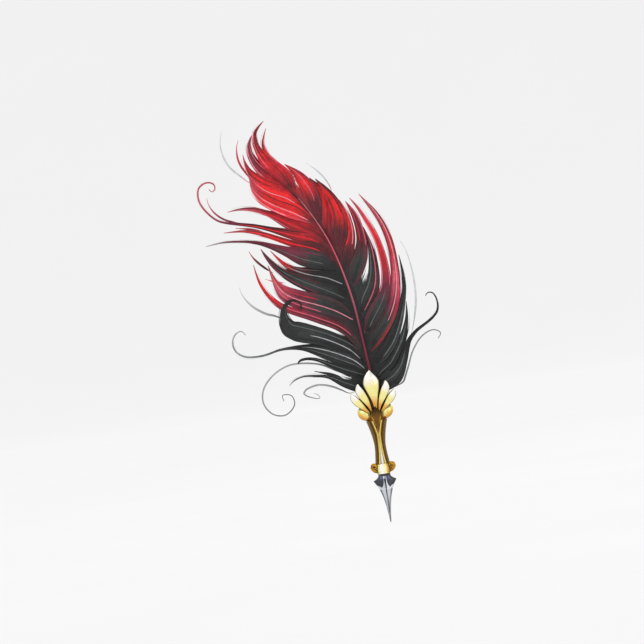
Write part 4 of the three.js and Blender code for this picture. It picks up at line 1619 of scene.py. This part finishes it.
@dataclass
class Crown:
    """Petals, tongue, lobes and cup, front and back."""

    petal_rows: int = 48
    petal_lanes: int = 21
    tongue_rows: int = 56
    tongue_lanes: int = 15
    wall: float = 0.55 * MM
    dome: float = 0.75 * MM
    rim: float = 0.18 * MM
    rib: float = 0.14 * MM

    def build(self, finishes: Finishes) -> None:
        """Builds the whole crown.

        Args:
            finishes: every finish on the pen.
        """
        kinds = ("centre", "inner_left", "inner_right", "outer_left", "outer_right")
        for face, side in (("front", -1), ("back", 1)):
            for kind in kinds:
                node = f"petal_{kind}_{face}"
                mesh = self._petal(node, side)
                settle(mesh, "leaf_" + node, finishes.pale_gilt, "holder", (node,))
            node = f"crown_tongue_{face}"
            settle(self._tongue(node, side), "leaf_" + node, finishes.gilt, "holder", (node,))
        for node, side in (("lobe_left", -1), ("lobe_right", 1)):
            settle(self._lobe(node, side), "shell_" + node, finishes.brass, "holder", (node,))
        settle(self._funnel(), "crown_funnel", finishes.gilt, "holder")
        settle(self._cup(), "cup_band", finishes.gilt, "holder", ("crown_cup",))

    def _petal(self, node: str, side: int) -> bpy.types.Mesh:
        """Builds one pointed, cupped petal with a raised rim and midrib.

        Args:
            node: name of the CAD node.
            side: -1 at the front, 1 at the back.

        Returns:
            The finished mesh.
        """
        ribbon = Ribbon.of_node(node, rising=True).resampled(self.petal_rows)
        lane = np.sin(np.linspace(-1, 1, self.petal_lanes) * math.pi / 2)
        run = np.linspace(0, 1, self.petal_rows)[:, None]
        middle = ribbon.at(lane)
        wide = np.minimum(ribbon.half[:, None] / (3 * MM), 1.3)
        dome = self.dome * wide * (1 - lane**2)
        rim = self.rim * bell(np.abs(lane), 0.9, 0.07) * np.minimum(wide, 1)
        rib = self.rib * bell(lane, 0.0, 0.1) * smoothstep(0, 0.3, run)
        rib = rib * (1 - smoothstep(0.7, 1, run))
        edge = self.wall / 2 * (1 - 0.45 * np.abs(lane) ** 6)
        front, back = middle.copy(), middle.copy()
        front[..., 1] += side * (dome + rim + rib + edge)
        back[..., 1] += side * (0.55 * dome - edge)
        # Bronze at the foot to cream at the tip: partly the petal's own pale gilt, partly a painted
        # reflection of light on the upper petal.
        foot = ((0, BRONZE), (0.1, GOLD), (0.25, AMBER))
        stops = (*foot, (0.42, STRAW), (0.6, STRAW), (0.8, CREAM), (1, CREAM))
        paint = np.broadcast_to(ramp(run, stops), front.shape)
        vein = 0.25 * bell(np.abs(lane), 0.5, 0.06) * (1 - smoothstep(0.3, 0.75, run))
        paint = tint(paint, AMBER, vein)
        # Painted shade: the petal's sides turn amber towards the base.
        painted_side_shade = 0.35 * smoothstep(0.5, 0.85, np.abs(lane)) * (1 - 0.7 * run)
        paint = tint(paint, AMBER, painted_side_shade)
        # Umber at the very edges: partly bronze patina, partly painted shade of the gaps between the petals.
        outline = smoothstep(0.84, 0.93, np.abs(lane)) * np.ones_like(run)
        paint = tint(paint, UMBER, outline)
        draft = Draft()
        # The back face takes the front paint moved 0.6 towards bronze: painted shade on the petal's
        # underside.
        draft.shell(front, back, paint, tint(paint, BRONZE, 0.6 * np.ones(paint.shape[:2])))
        return draft.mesh(node)

    def _tongue(self, node: str, side: int) -> bpy.types.Mesh:
        """Builds the dark tongue that closes the stem's window.

        Args:
            node: name of the CAD node.
            side: -1 at the front, 1 at the back.

        Returns:
            The finished mesh.
        """
        ribbon = Ribbon.of_node(node, rising=True).resampled(self.tongue_rows)
        lane = np.linspace(-1, 1, self.tongue_lanes)
        run = np.linspace(0, 1, self.tongue_rows)[:, None]
        middle = ribbon.at(lane)
        ridge = 0.3 * MM * bell(np.abs(lane), 0.86, 0.1) * np.ones_like(run)
        furrow = 0.12 * MM * np.cos(lane * math.pi * 2.5) * smoothstep(0.1, 0.5, run)
        front, back = middle.copy(), middle.copy()
        front[..., 1] += side * (0.4 * MM + ridge + furrow)
        back[..., 1] -= side * 0.35 * MM
        stops = ((0, GOLD), (0.2, BRONZE), (0.6, BRONZE), (0.85, UMBER), (1, UMBER))
        paint = np.broadcast_to(ramp(run, stops), front.shape)
        streak = 0.6 * (0.5 + 0.5 * np.cos(lane * math.pi * 3)) * (1 - run)
        paint = tint(paint, UMBER, streak)
        edge = smoothstep(0.72, 0.85, np.abs(lane)) * (1 - smoothstep(0.5, 0.7, run))
        paint = tint(paint, GOLD, edge)
        draft = Draft()
        draft.shell(front, back, paint, UMBER.linear)
        return draft.mesh(node)

    def _lobe(self, node: str, side: int) -> bpy.types.Mesh:
        """Builds a fluted shell lobe, fuller than its CAD node and led further inwards.

        Args:
            node: name of the CAD node.
            side: -1 on the left, 1 on the right.

        Returns:
            The finished mesh.
        """
        low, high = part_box(node)
        reach = max(abs(low.x), abs(high.x)) + 0.3 * MM
        size = np.array([4.9 * MM, (high.y - low.y) / 2 + 0.4 * MM, (high.z - low.z) / 2 + 0.9 * MM])
        centre = np.array([side * (reach - size[0]), 0.0, (low.z + high.z) / 2 + 0.55 * MM])
        turn = full_turn(56)
        tilt = np.linspace(0, math.pi, 35)[:, None]
        flute = 1 - 0.03 * (1 + np.cos(5 * turn)) * np.sin(tilt) ** 2
        out = -np.cos(tilt) * np.ones_like(turn)
        radial = np.sin(tilt) ** 0.8 * flute
        points = centre + np.stack([side * out, -radial * np.cos(turn), radial * np.sin(turn)], -1) * size
        points[..., 2] += 1.5 * MM * out
        # Painted light and shade: straw on the lobe's top, amber to bronze towards its underside and its
        # outer end.
        painted_top_light = (1 + radial * np.sin(turn)) / 2
        stops = ((0, STRAW), (0.45, STRAW), (0.7, AMBER), (1, BRONZE))
        paint = ramp(0.25 * (1 + out) / 2 + 0.75 * (1 - painted_top_light), stops)
        draft = Draft()
        draft.grid(points, paint, wrap=True)
        return draft.mesh(node, 70.0)

    def _funnel(self) -> bpy.types.Mesh:
        """Builds the dark open funnel behind the petals, in which the plume stands; its umber is painted
        shade seen through the gaps between the petals.

        Returns:
            The finished mesh.
        """
        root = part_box("crown_cup")[1].z - 1.2 * MM
        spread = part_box("petal_outer_right_front")[1].x - 2.6 * MM
        turn = full_turn(96)
        share = np.linspace(0, 1, 24)[:, None]
        top = root + (22.4 - 12.5 * np.abs(np.sin(turn)) ** 0.9) * MM
        wide = 5.3 * MM + (spread - 5.3 * MM) * share
        deep = (4.2 + 3.6 * share**0.75) * MM
        level = root + share * (top - root)
        inset = 0.45 * MM
        outer = np.stack([wide * np.sin(turn), -deep * np.cos(turn), level], -1)
        inner = np.stack([(wide - inset) * np.sin(turn), -(deep - inset) * np.cos(turn), level], -1)
        loop = np.concatenate([outer, inner[::-1], outer[:1]])
        # Umber all over: painted shade behind the petal gaps.
        paint = np.broadcast_to(UMBER.linear, loop.shape)
        draft = Draft()
        draft.grid(loop, paint, wrap=True)
        return draft.mesh("crown_funnel")

    def _cup(self) -> bpy.types.Mesh:
        """Turns the moulded band that holds the petals' roots.

        Returns:
            The finished mesh.
        """
        probe = Probe("crown_cup")
        low, high = probe.low.z, probe.high.z
        inner, outer = probe.wall((low + high) / 2, 0.3)
        share = np.linspace(0, 1, 25)
        bead = 0.35 * MM * bell(share, 0.2, 0.1) - 0.5 * MM * smoothstep(0.65, 1.0, share)
        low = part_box("stem_shell_left")[1].z + 0.02 * MM
        lip = 1.1 * MM * bell(share, 0.0, 0.12)
        line = list(zip(outer - 0.4 * MM + bead + lip, low + share * (high - low)))
        draft = Draft()
        draft.turned(bored(inner, line, low, high), 72, BRONZE.linear)
        return draft.mesh("crown_cup")


# ---------------------------------------------------------------- stem and collar


@dataclass
class Stem:
    """The split stem's two shells and the bright core tube between them."""

    rows: int = 70
    columns: int = 45

    def build(self, finishes: Finishes) -> None:
        """Builds both shells and the core.

        Args:
            finishes: every finish on the pen.
        """
        for node, side in (("stem_shell_left", -1), ("stem_shell_right", 1)):
            settle(self._shell(node, side), node + "_skin", finishes.gilt, "holder", (node,))
        settle(self._core(), "core_sleeve", finishes.brass, "holder", ("core_tube",))

    def _window(self, probe: Probe, z: float, side: int) -> float:
        """Half width of the window at a height, found by halving.

        Args:
            probe: finds the CAD walls.
            z: height in metres.
            side: -1 on the left, 1 on the right.

        Returns:
            The half width in metres.
        """
        near, far = 0.0, 3.6 * MM
        for _ in range(18):
            middle = (near + far) / 2
            hit = probe.tree.ray_cast(Vector((side * middle, -0.1, z)), Vector((0, 1, 0)), 0.1)[0]
            near, far = (near, middle) if hit is not None else (middle, far)
        return far

    def _shell(self, node: str, side: int) -> bpy.types.Mesh:
        """Builds one half of the stem, beaded along its window.

        Args:
            node: name of the CAD node.
            side: -1 on the left, 1 on the right.

        Returns:
            The finished mesh.
        """
        probe = Probe(node)
        low, high = probe.low.z + 1e-5, probe.high.z - 1e-5
        heights = np.linspace(low, high, self.rows)
        walls = np.array([probe.wall(z, side * math.pi / 2) for z in heights])
        window = np.array([self._window(probe, z, side) for z in heights])
        outer, inner = walls[:, 1:], walls[:, :1]
        gap = np.arcsin(np.clip(window[:, None] / outer, 0, 0.9))
        lane = np.linspace(0, 1, self.columns)
        angle = gap + lane * (math.pi - 2 * gap)
        edge = np.minimum(lane, 1 - lane)
        relief = 0.22 * MM * bell(edge, 0.035, 0.03)
        relief = relief - 0.16 * MM * bell(edge, 0.12, 0.035) + 0.1 * MM * bell(edge, 0.26, 0.05)
        radius = outer + relief
        level = heights[:, None] * np.ones_like(lane)
        front = around(radius, level, side * angle)
        back = around(inner, level, side * angle)
        # Painted reflections: dark olive and umber bands stand for dark surroundings mirrored in the gilt,
        # and the straw and gold lines along the window are painted highlights.
        stops = ((0, STRAW), (0.04, GOLD), (0.09, OLIVE), (0.14, OLIVE), (0.2, BRONZE),
                 (0.26, BRONZE), (0.32, OLIVE), (0.38, BRONZE), (0.44, OLIVE), (0.5, UMBER))
        paint = np.broadcast_to(ramp(edge, stops), front.shape)
        draft = Draft()
        draft.shell(front, back, paint, BRONZE.linear)
        return draft.mesh(node)

    def _core(self) -> bpy.types.Mesh:
        """Turns the core tube, with a chamfer at each end.

        Returns:
            The finished mesh.
        """
        probe = Probe("core_tube")
        low, high = probe.low.z, probe.high.z
        inner, outer = probe.wall((low + high) / 2, 0.3)
        heights = np.linspace(low, high, 40)
        line = [(outer, z) for z in heights]
        line[0] = (outer - 0.2 * MM, low)
        line[-1] = (outer - 0.2 * MM, high)
        draft = Draft()
        loop = bored(inner, line, low, high)
        share = np.clip((np.array([z for _, z in loop + loop[:1]]) + 0.018) / 0.026, 0, 1)
        paint = ramp(share, ((0, CREAM), (0.25, CREAM), (0.5, STRAW), (1, AMBER)))
        draft.turned(loop, 64, paint[:, None] * np.ones((1, 64, 1)))
        return draft.mesh("core_tube")


@dataclass
class Collar:
    """The pale collar and its two scrolls."""

    sides: int = 96
    scroll_turns: float = 1.35
    knob_radius: float = 2.45 * MM
    knob_rows: int = 15
    knob_sides: int = 56
    bead_steps: int = 70
    tail_steps: int = 24
    tail_sides: int = 24

    def build(self, tree: StrandTree, finishes: Finishes) -> None:
        """Builds the ring and the scrolls.

        Args:
            tree: sweeps the strands.
            finishes: every finish on the pen.
        """
        settle(self._ring(), "collar_band", finishes.pale_gilt, "holder", ("collar_ring",))
        for node, side in (("scroll_left", -1), ("scroll_right", 1)):
            mesh = self._scroll(node, side, tree, finishes)
            settle(mesh, node + "_volute", finishes.gilt, "holder", (node,))

    def _ring(self) -> bpy.types.Mesh:
        """Turns the collar with a bead at its top and at its foot.

        Returns:
            The finished mesh.
        """
        probe = Probe("collar_ring")
        low, high = probe.low.z - 0.1 * MM, probe.high.z + 0.27 * MM
        inner, outer = probe.wall((low + high) / 2, 0.3)
        share = np.linspace(0, 1, 37)
        swell = 0.3 * MM * np.sin(share * math.pi)
        bead = 0.28 * MM * (bell(share, 0.07, 0.05) + bell(share, 0.93, 0.05))
        groove = 0.15 * MM * (bell(share, 0.2, 0.04) + bell(share, 0.8, 0.04))
        radii = outer - 0.45 * MM + swell + bead - groove
        line = list(zip(radii, low + share * (high - low)))
        loop = bored(inner, line, low, high)
        angle = full_turn(self.sides)
        # Painted reflection: bronze at the left, cream in the middle, gold to bronze at the right, following
        # the turn round the ring.
        across = (1 + np.sin(angle)) / 2
        foot = ((0, BRONZE), (0.14, STRAW), (0.3, CREAM))
        stops = (*foot, (0.52, CREAM), (0.66, STRAW), (0.84, GOLD), (1, BRONZE))
        paint = np.broadcast_to(ramp(across, stops), (len(loop) + 1, self.sides, 3))
        draft = Draft()
        draft.turned(loop, self.sides, paint)
        return draft.mesh("collar_ring")

    def _scroll(self, node: str, side: int, tree: StrandTree, finishes: Finishes) -> bpy.types.Mesh:
        """Builds a round knob with a tail to the collar's foot and a spiral bead on each face.

        Args:
            node: name of the CAD node.
            side: -1 on the left, 1 on the right.
            tree: sweeps the strands.
            finishes: every finish on the pen.

        Returns:
            The finished mesh.
        """
        low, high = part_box(node)
        depth = (high.y - low.y) / 2
        radius = self.knob_radius
        outer_x = max(abs(low.x), abs(high.x))
        centre = np.array([side * (outer_x - radius), 0.0, high.z - radius])
        share = np.linspace(0, 1, self.knob_rows)[:, None]
        turn = full_turn(self.knob_sides)
        lens = np.sin(share * math.pi) ** 0.45
        draft = Draft()
        y = np.broadcast_to(-depth * np.cos(share * math.pi), (self.knob_rows, self.knob_sides))
        knob = np.stack([radius * lens * np.cos(turn), y, radius * lens * np.sin(turn)], -1) + centre
        # Painted light and shade: the knob runs from umber on one side to gold on the other.
        bright = 0.5 + 0.5 * np.sin(turn + 0.6) * np.ones_like(share)
        paint = ramp(bright, ((0, UMBER), (0.6, BRONZE), (1, GOLD)))
        draft.grid(knob, paint, wrap=True)
        self._tail(draft, centre, low, side, depth)
        guides = Guides()
        for face in (-1, 1):
            swirl = np.linspace(0, 1, self.bead_steps)
            spin = 0.4 + swirl * self.scroll_turns * 2 * math.pi
            reach = radius * (0.9 - 0.62 * swirl)
            x = centre[0] + side * reach * np.cos(spin)
            z = centre[2] + reach * np.sin(spin)
            bead = np.stack([x, np.full_like(x, face * depth * 0.93), z], -1)
            guides.add(bead, (0.3 - 0.12 * swirl) * MM, GOLD.linear)
        mesh = tree.apply(guides.mesh_with(node, draft), finishes.gilt, 10, 0.02, 5)
        sealed(mesh)
        smooth_by_angle(mesh, 55)
        return mesh

    def _tail(self, draft: Draft, centre: Array, low: Vector, side: int, depth: float) -> None:
        """Adds the tail that runs from the knob's outer side down to the collar's foot.

        Args:
            draft: takes the faces.
            centre: middle of the knob.
            low: lowest corner of the node.
            side: -1 on the left, 1 on the right.
            depth: half the thickness.
        """
        radius = self.knob_radius
        foot = np.array([side * (abs(centre[0]) - radius * 0.9), low.z + 0.55 * MM])
        start = np.array([centre[0] + side * radius * 0.35, centre[2] - radius * 0.1])
        bend = np.array([centre[0] + side * radius * 0.2, foot[1] + 0.7 * MM])
        t = np.linspace(0, 1, self.tail_steps)[:, None]
        line = (1 - t) ** 2 * start + 2 * t * (1 - t) * bend + t**2 * foot
        heading = np.gradient(line, axis=0)
        heading /= np.linalg.norm(heading, axis=1)[:, None]
        across = np.stack([heading[:, 1], -heading[:, 0]], -1)
        ring = full_turn(self.tail_sides)
        width = (2.1 - 1.2 * t) * MM
        deep = depth * (0.92 - 0.35 * t)
        x = line[:, :1] + across[:, :1] * width * np.cos(ring)
        z = line[:, 1:] + across[:, 1:] * width * np.cos(ring)
        y = deep * np.sin(ring)
        points = np.stack([x, y, z], -1)
        caps = [np.broadcast_to(points[i].mean(0), points[i].shape)[None] for i in (0, -1)]
        points = np.concatenate([caps[0], points, caps[1]])
        fall = np.linspace(0, 1, len(points))[:, None] * np.ones(self.tail_sides)
        paint = ramp(fall, ((0, GOLD), (1, BRONZE)))
        draft.grid(points, paint, wrap=True)


# ---------------------------------------------------------------- nib


@dataclass
class Nib:
    """The slip-in nib: an arched shank with dark shoulder plates and two bright tines."""

    rows: int = 44
    columns: int = 13
    sheet: float = 0.62 * MM
    slit: float = 0.02 * MM
    edge: float = 0.01 * MM
    tine_rows: int = 60
    plate_rows: int = 30
    plate_columns: int = 9
    tang_length: float = 12 * MM
    tang_radius: float = 1.18 * MM
    tang_sides: int = 32

    def build(self, finishes: Finishes) -> None:
        """Builds the shank, its plates and the tines.

        Args:
            finishes: every finish on the pen.
        """
        shank = Probe("nib_shank")
        shank.least = 3 * MM
        low = shank.low.z
        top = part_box("collar_ring")[0].z - 0.3 * MM
        draft = Draft()
        for side in (-1, 1):
            heights = np.linspace(top - self.edge, low + self.edge, self.rows)
            half = np.array([shank.half_width(z, side) for z in heights])
            front = self._sheet_points(shank, heights, half, side, -1)
            front[0, :, 2] += 0.15 * MM
            front[-1, :, 2] -= 0.2 * MM
            back = front.copy()
            back[..., 1] += self.sheet
            run = np.linspace(0, 1, self.rows)[:, None] * np.ones(self.columns)
            paint = ramp(run, ((0, PEWTER), (0.4, SILVER), (1, SILVER)))
            share = np.linspace(0, 1, self.columns)
            # Painted shade: gunmetal along the slit edge stands for the dark gap of the slit.
            dark = (1 - smoothstep(0.02, 0.1, share)) * smoothstep(0.1, 0.15, run)
            paint = tint(paint, GUNMETAL, dark)
            # The back face takes 0.7 of silver: painted shade on the underside.
            draft.shell(front, back, paint, SILVER.linear * 0.7)
        self._tang(draft, shank)
        mesh = draft.mesh("nib_shank", 30.0)
        settle(mesh, "shank_sheet", finishes.bright_steel, "nib", ("nib_shank",))
        plates = Draft()
        for side in (-1, 1):
            for face in (-1, 1):
                self._plate(plates, shank, side, face, top)
        mesh = plates.mesh("shoulder_plates", 30.0)
        settle(mesh, "shoulder_plates", finishes.blued_steel, "nib")
        for node, side, body in (("nib_tine_left", -1, "tine_left"), ("nib_tine_right", 1, "tine_right")):
            mesh = self._tine(node, side)
            settle(mesh, node + "_blade", finishes.bright_steel, body, (node,))

    def _sheet_points(self, probe: Probe, heights: Array, half: Array, side: int, face: int) -> Array:
        """Places on one face of the arched sheet, from the slit to the outline.

        Args:
            probe: finds the CAD walls.
            heights: heights from the top down.
            half: half widths at those heights.
            side: -1 on the left, 1 on the right.
            face: -1 at the front, 1 at the back.

        Returns:
            The (rows, columns, 3) places.
        """
        share = np.linspace(0, 1, self.columns)
        points = np.zeros((len(heights), self.columns, 3))
        for row, (z, wide) in enumerate(zip(heights, half)):
            for column, part in enumerate(share):
                x = side * (self.slit + part * (wide - self.slit))
                start = Vector((x * 0.995 + side * self.edge, face * 0.1, z))
                hit = probe.tree.ray_cast(start, Vector((0, -face, 0)))[0]
                y = hit.y if hit is not None else points[row, column - 1, 1]
                points[row, column] = (x, y, z)
        return points

    def _plate(self, draft: Draft, probe: Probe, side: int, face: int, top: float) -> None:
        """Adds one dark plate that lies over a shoulder.

        Args:
            draft: takes the faces.
            probe: finds the CAD walls.
            side: -1 on the left, 1 on the right.
            face: -1 at the front, 1 at the back.
            top: height of the upper edge.
        """
        drop = np.array([0.15, 1.1, 2.2, 3.4, 4.5, 6.2, 7.9, 9.3]) * MM
        inner = np.array([1.5, 1.2, 1.15, 1.1, 1.1, 1.25, 1.8, 2.7]) * MM
        heights = np.linspace(top - drop[0], top - drop[-1], self.plate_rows)
        half = np.array([probe.half_width(z, side) for z in heights]) * 0.985
        near = np.interp(top - heights, drop, inner)
        close = smoothstep(7.4 * MM, 9.3 * MM, top - heights)
        half = half + (near + 0.25 * MM - half) * close * 0.75
        share = np.linspace(0, 1, self.plate_columns)
        front = np.zeros((self.plate_rows, self.plate_columns, 3))
        for row, z in enumerate(heights):
            for column, part in enumerate(share):
                x = side * (near[row] + part * (max(half[row], near[row] + 0.1 * MM) - near[row]))
                hit = probe.tree.ray_cast(Vector((x, face * 0.1, z)), Vector((0, -face, 0)))[0]
                y = hit.y if hit is not None else front[row, column - 1, 1]
                front[row, column] = (x, y, z)
        back = front.copy()
        facet = 0.3 * MM * (1 - np.abs(2 * share - 0.9))
        front[..., 1] += face * (0.12 * MM + facet)
        back[..., 1] -= face * 0.15 * MM
        along = np.linspace(0, 1, self.plate_rows)[:, None] * np.ones(self.plate_columns)
        paint = ramp(along, ((0, VIOLET), (0.3, VIOLET), (0.5, GUNMETAL), (1, GUNMETAL)))
        outer = smoothstep(0.45, 0.6, share) * np.ones_like(along)
        paint = tint(paint, GUNMETAL, outer)
        draft.shell(front, back, paint, GUNMETAL.linear)

    def _tang(self, draft: Draft, probe: Probe) -> None:
        """Adds the round tang that slides into the clip.

        Args:
            draft: takes the faces.
            probe: finds the CAD walls.
        """
        high = probe.high.z
        low = high - self.tang_length
        radius = self.tang_radius
        rim = [(radius, high - 0.4 * MM), (radius - 0.35 * MM, high)]
        corners = [(0, low), (radius, low), *rim, (0, high)]
        loop = np.array(corners)
        places = around(loop[:, :1], loop[:, 1:], full_turn(self.tang_sides))
        draft.grid(places, PEWTER.linear, wrap=True)

    def _tine(self, node: str, side: int) -> bpy.types.Mesh:
        """Builds one tine with a ground facet on each side of its ridge.

        Args:
            node: name of the CAD node.
            side: -1 on the left, 1 on the right.

        Returns:
            The finished mesh.
        """
        probe = Probe(node)
        heights = np.linspace(probe.high.z - self.edge, probe.low.z + self.edge, self.tine_rows)
        half = np.array([probe.half_width(z, side) for z in heights])
        share = np.linspace(0, 1, self.columns)
        front = self._sheet_points(probe, heights, half, side, -1)
        back = front.copy()
        back[..., 1] += self.sheet
        ridge = 0.42 * MM * (1 - np.abs(2 * share - 1)) * np.minimum(half[:, None] / (3 * MM), 1)
        front[..., 1] -= ridge
        back[..., 1] += ridge * 0.5
        run = np.linspace(0, 1, self.tine_rows)[:, None] * np.ones(self.columns)
        # Painted shade: the inner facet darkens, the right tine's most, and the outer facet too; gunmetal at
        # the slit stands for its dark gap.
        painted_inner_facet_shade = (0.95 if side > 0 else 0.35) * (1 - smoothstep(0.42, 0.52, share))
        painted_inner_facet_shade = painted_inner_facet_shade * smoothstep(0.15, 0.5, run)
        painted_outer_facet_shade = 0.85 * smoothstep(0.6, 0.78, share) * np.ones_like(run)
        painted_slit_shade = (1 - smoothstep(0.03, 0.12, share)) * np.ones_like(run)
        paint = np.broadcast_to(SILVER.linear, front.shape)
        paint = tint(paint, PEWTER, painted_inner_facet_shade, 0.5)
        paint = tint(paint, PEWTER, painted_outer_facet_shade, 0.8)
        paint = tint(paint, GUNMETAL, painted_slit_shade)
        draft = Draft()
        # The back face takes 0.7 of silver: painted shade on the underside.
        draft.shell(front, back, paint, SILVER.linear * 0.7)
        return draft.mesh(node, 18.0)


# ---------------------------------------------------------------- studio


def node_slots() -> dict[str, str]:
    """The record's material slot of every CAD node."""
    return {part["node"]: part["material_slot"] for part in frame["record"]["subparts"]}


@dataclass
class Studio:
    """Pale seamless floor, soft light and the camera."""

    lean: float = 8.0
    lens: float = 200.0
    sensor: float = 36.0
    view_width: float = 450.8 * MM
    aim: tuple[float, float] = (-28.3 * MM, 87.4 * MM)
    floor_room: float = 20 * MM

    def build(self, finishes: Finishes) -> None:
        """Builds floor, lights and camera.

        Args:
            finishes: every finish on the pen.
        """
        self._floor(finishes.floor)
        self._lights()
        self._camera()

    def _floor(self, material: bpy.types.Material) -> None:
        """Lays a round floor that sweeps up into a pale wall all round.

        Args:
            material: the finish it takes.
        """
        ground = CAD_BOX[0].z - self.floor_room
        flat, sweep, top = 4.5, 1.5, 4.0
        profile = [(0.0, ground), (flat, ground)]
        for angle in np.linspace(0, math.pi / 2, 18)[1:]:
            profile.append((flat + sweep * math.sin(angle), ground + sweep * (1 - math.cos(angle))))
        profile.append((flat + sweep, top))
        line = np.array(profile)
        draft = Draft()
        draft.grid(around(line[:, :1], line[:, 1:], full_turn(96)), MIST.linear, wrap=True)
        mesh = draft.mesh("floor", 180.0)
        mesh.materials.append(material)
        floor = bpy.data.objects.new("floor", mesh)
        bpy.context.scene.collection.objects.link(floor)

    def _lights(self) -> None:
        """Hangs large soft lamps round the pen and a pale sky."""
        centre = Vector((self.aim[0], 0, self.aim[1]))
        lamps = (
            ("key", (-1.0, -1.9, 1.3), 1.6, 13.0),
            ("fill", (1.5, -1.6, 0.5), 1.4, 4.0),
            ("top", (0.2, 0.4, 1.9), 1.2, 5.0),
            ("back", (0.6, 1.4, 0.9), 1.2, 5.0),
        )
        for name, place, size, power in lamps:
            lamp = bpy.data.lights.new(name, "AREA")
            lamp.size = size
            lamp.energy = power
            holder = bpy.data.objects.new(name, lamp)
            holder.location = centre + Vector(place)
            holder.rotation_euler = (centre - holder.location).to_track_quat("-Z", "Y").to_euler()
            bpy.context.scene.collection.objects.link(holder)
        world = bpy.data.worlds.new("pale_sky")
        world.use_nodes = True
        sky = world.node_tree.nodes["Background"]
        sky.inputs["Color"].default_value = (1.0, 1.0, 1.0, 1.0)
        sky.inputs["Strength"].default_value = 0.6
        bpy.context.scene.world = world
        bpy.context.scene.view_settings.view_transform = "Standard"

    def _camera(self) -> None:
        """Aims the camera at the front, rolled so that the pen leans."""
        data = bpy.data.cameras.new("camera")
        data.lens = self.lens
        data.sensor_width = self.sensor
        camera = bpy.data.objects.new("camera", data)
        bpy.context.scene.collection.objects.link(camera)
        distance = self.view_width * self.lens / self.sensor
        tilt = math.radians(self.lean)
        right = Vector((math.cos(tilt), 0, -math.sin(tilt)))
        up = Vector((math.sin(tilt), 0, math.cos(tilt)))
        turn = Matrix((right, up, Vector((0, -1, 0)))).transposed().to_4x4()
        place = Matrix.Translation(Vector((self.aim[0], -distance, self.aim[1])))
        camera.matrix_world = place @ turn
        data.clip_start, data.clip_end = 0.05, 50.0
        bpy.context.scene.camera = camera


def dress_hidden_nodes(finishes: Finishes) -> None:
    """Gives the CAD nodes that stay their finishes.

    Args:
        finishes: every finish on the pen.
    """
    for node, material in (("calamus_bush", finishes.amber_resin), ("nib_clip", finishes.spring_steel)):
        mesh = frame["nodes"][node].data
        mesh.materials.clear()
        mesh.materials.append(material)
        LOG.info("%s keeps its own mesh", node)


def main() -> None:
    """Builds the pen in order: holder, nib, plume and studio."""
    logging.basicConfig(level=logging.INFO, format="%(message)s")
    finishes = Finishes()
    tree = StrandTree()
    Stem().build(finishes)
    Collar().build(tree, finishes)
    Crown().build(finishes)
    dress_hidden_nodes(finishes)
    Nib().build(finishes)
    Plume().build(tree, finishes)
    Studio().build(finishes)


if __name__ == "__main__":
    main()
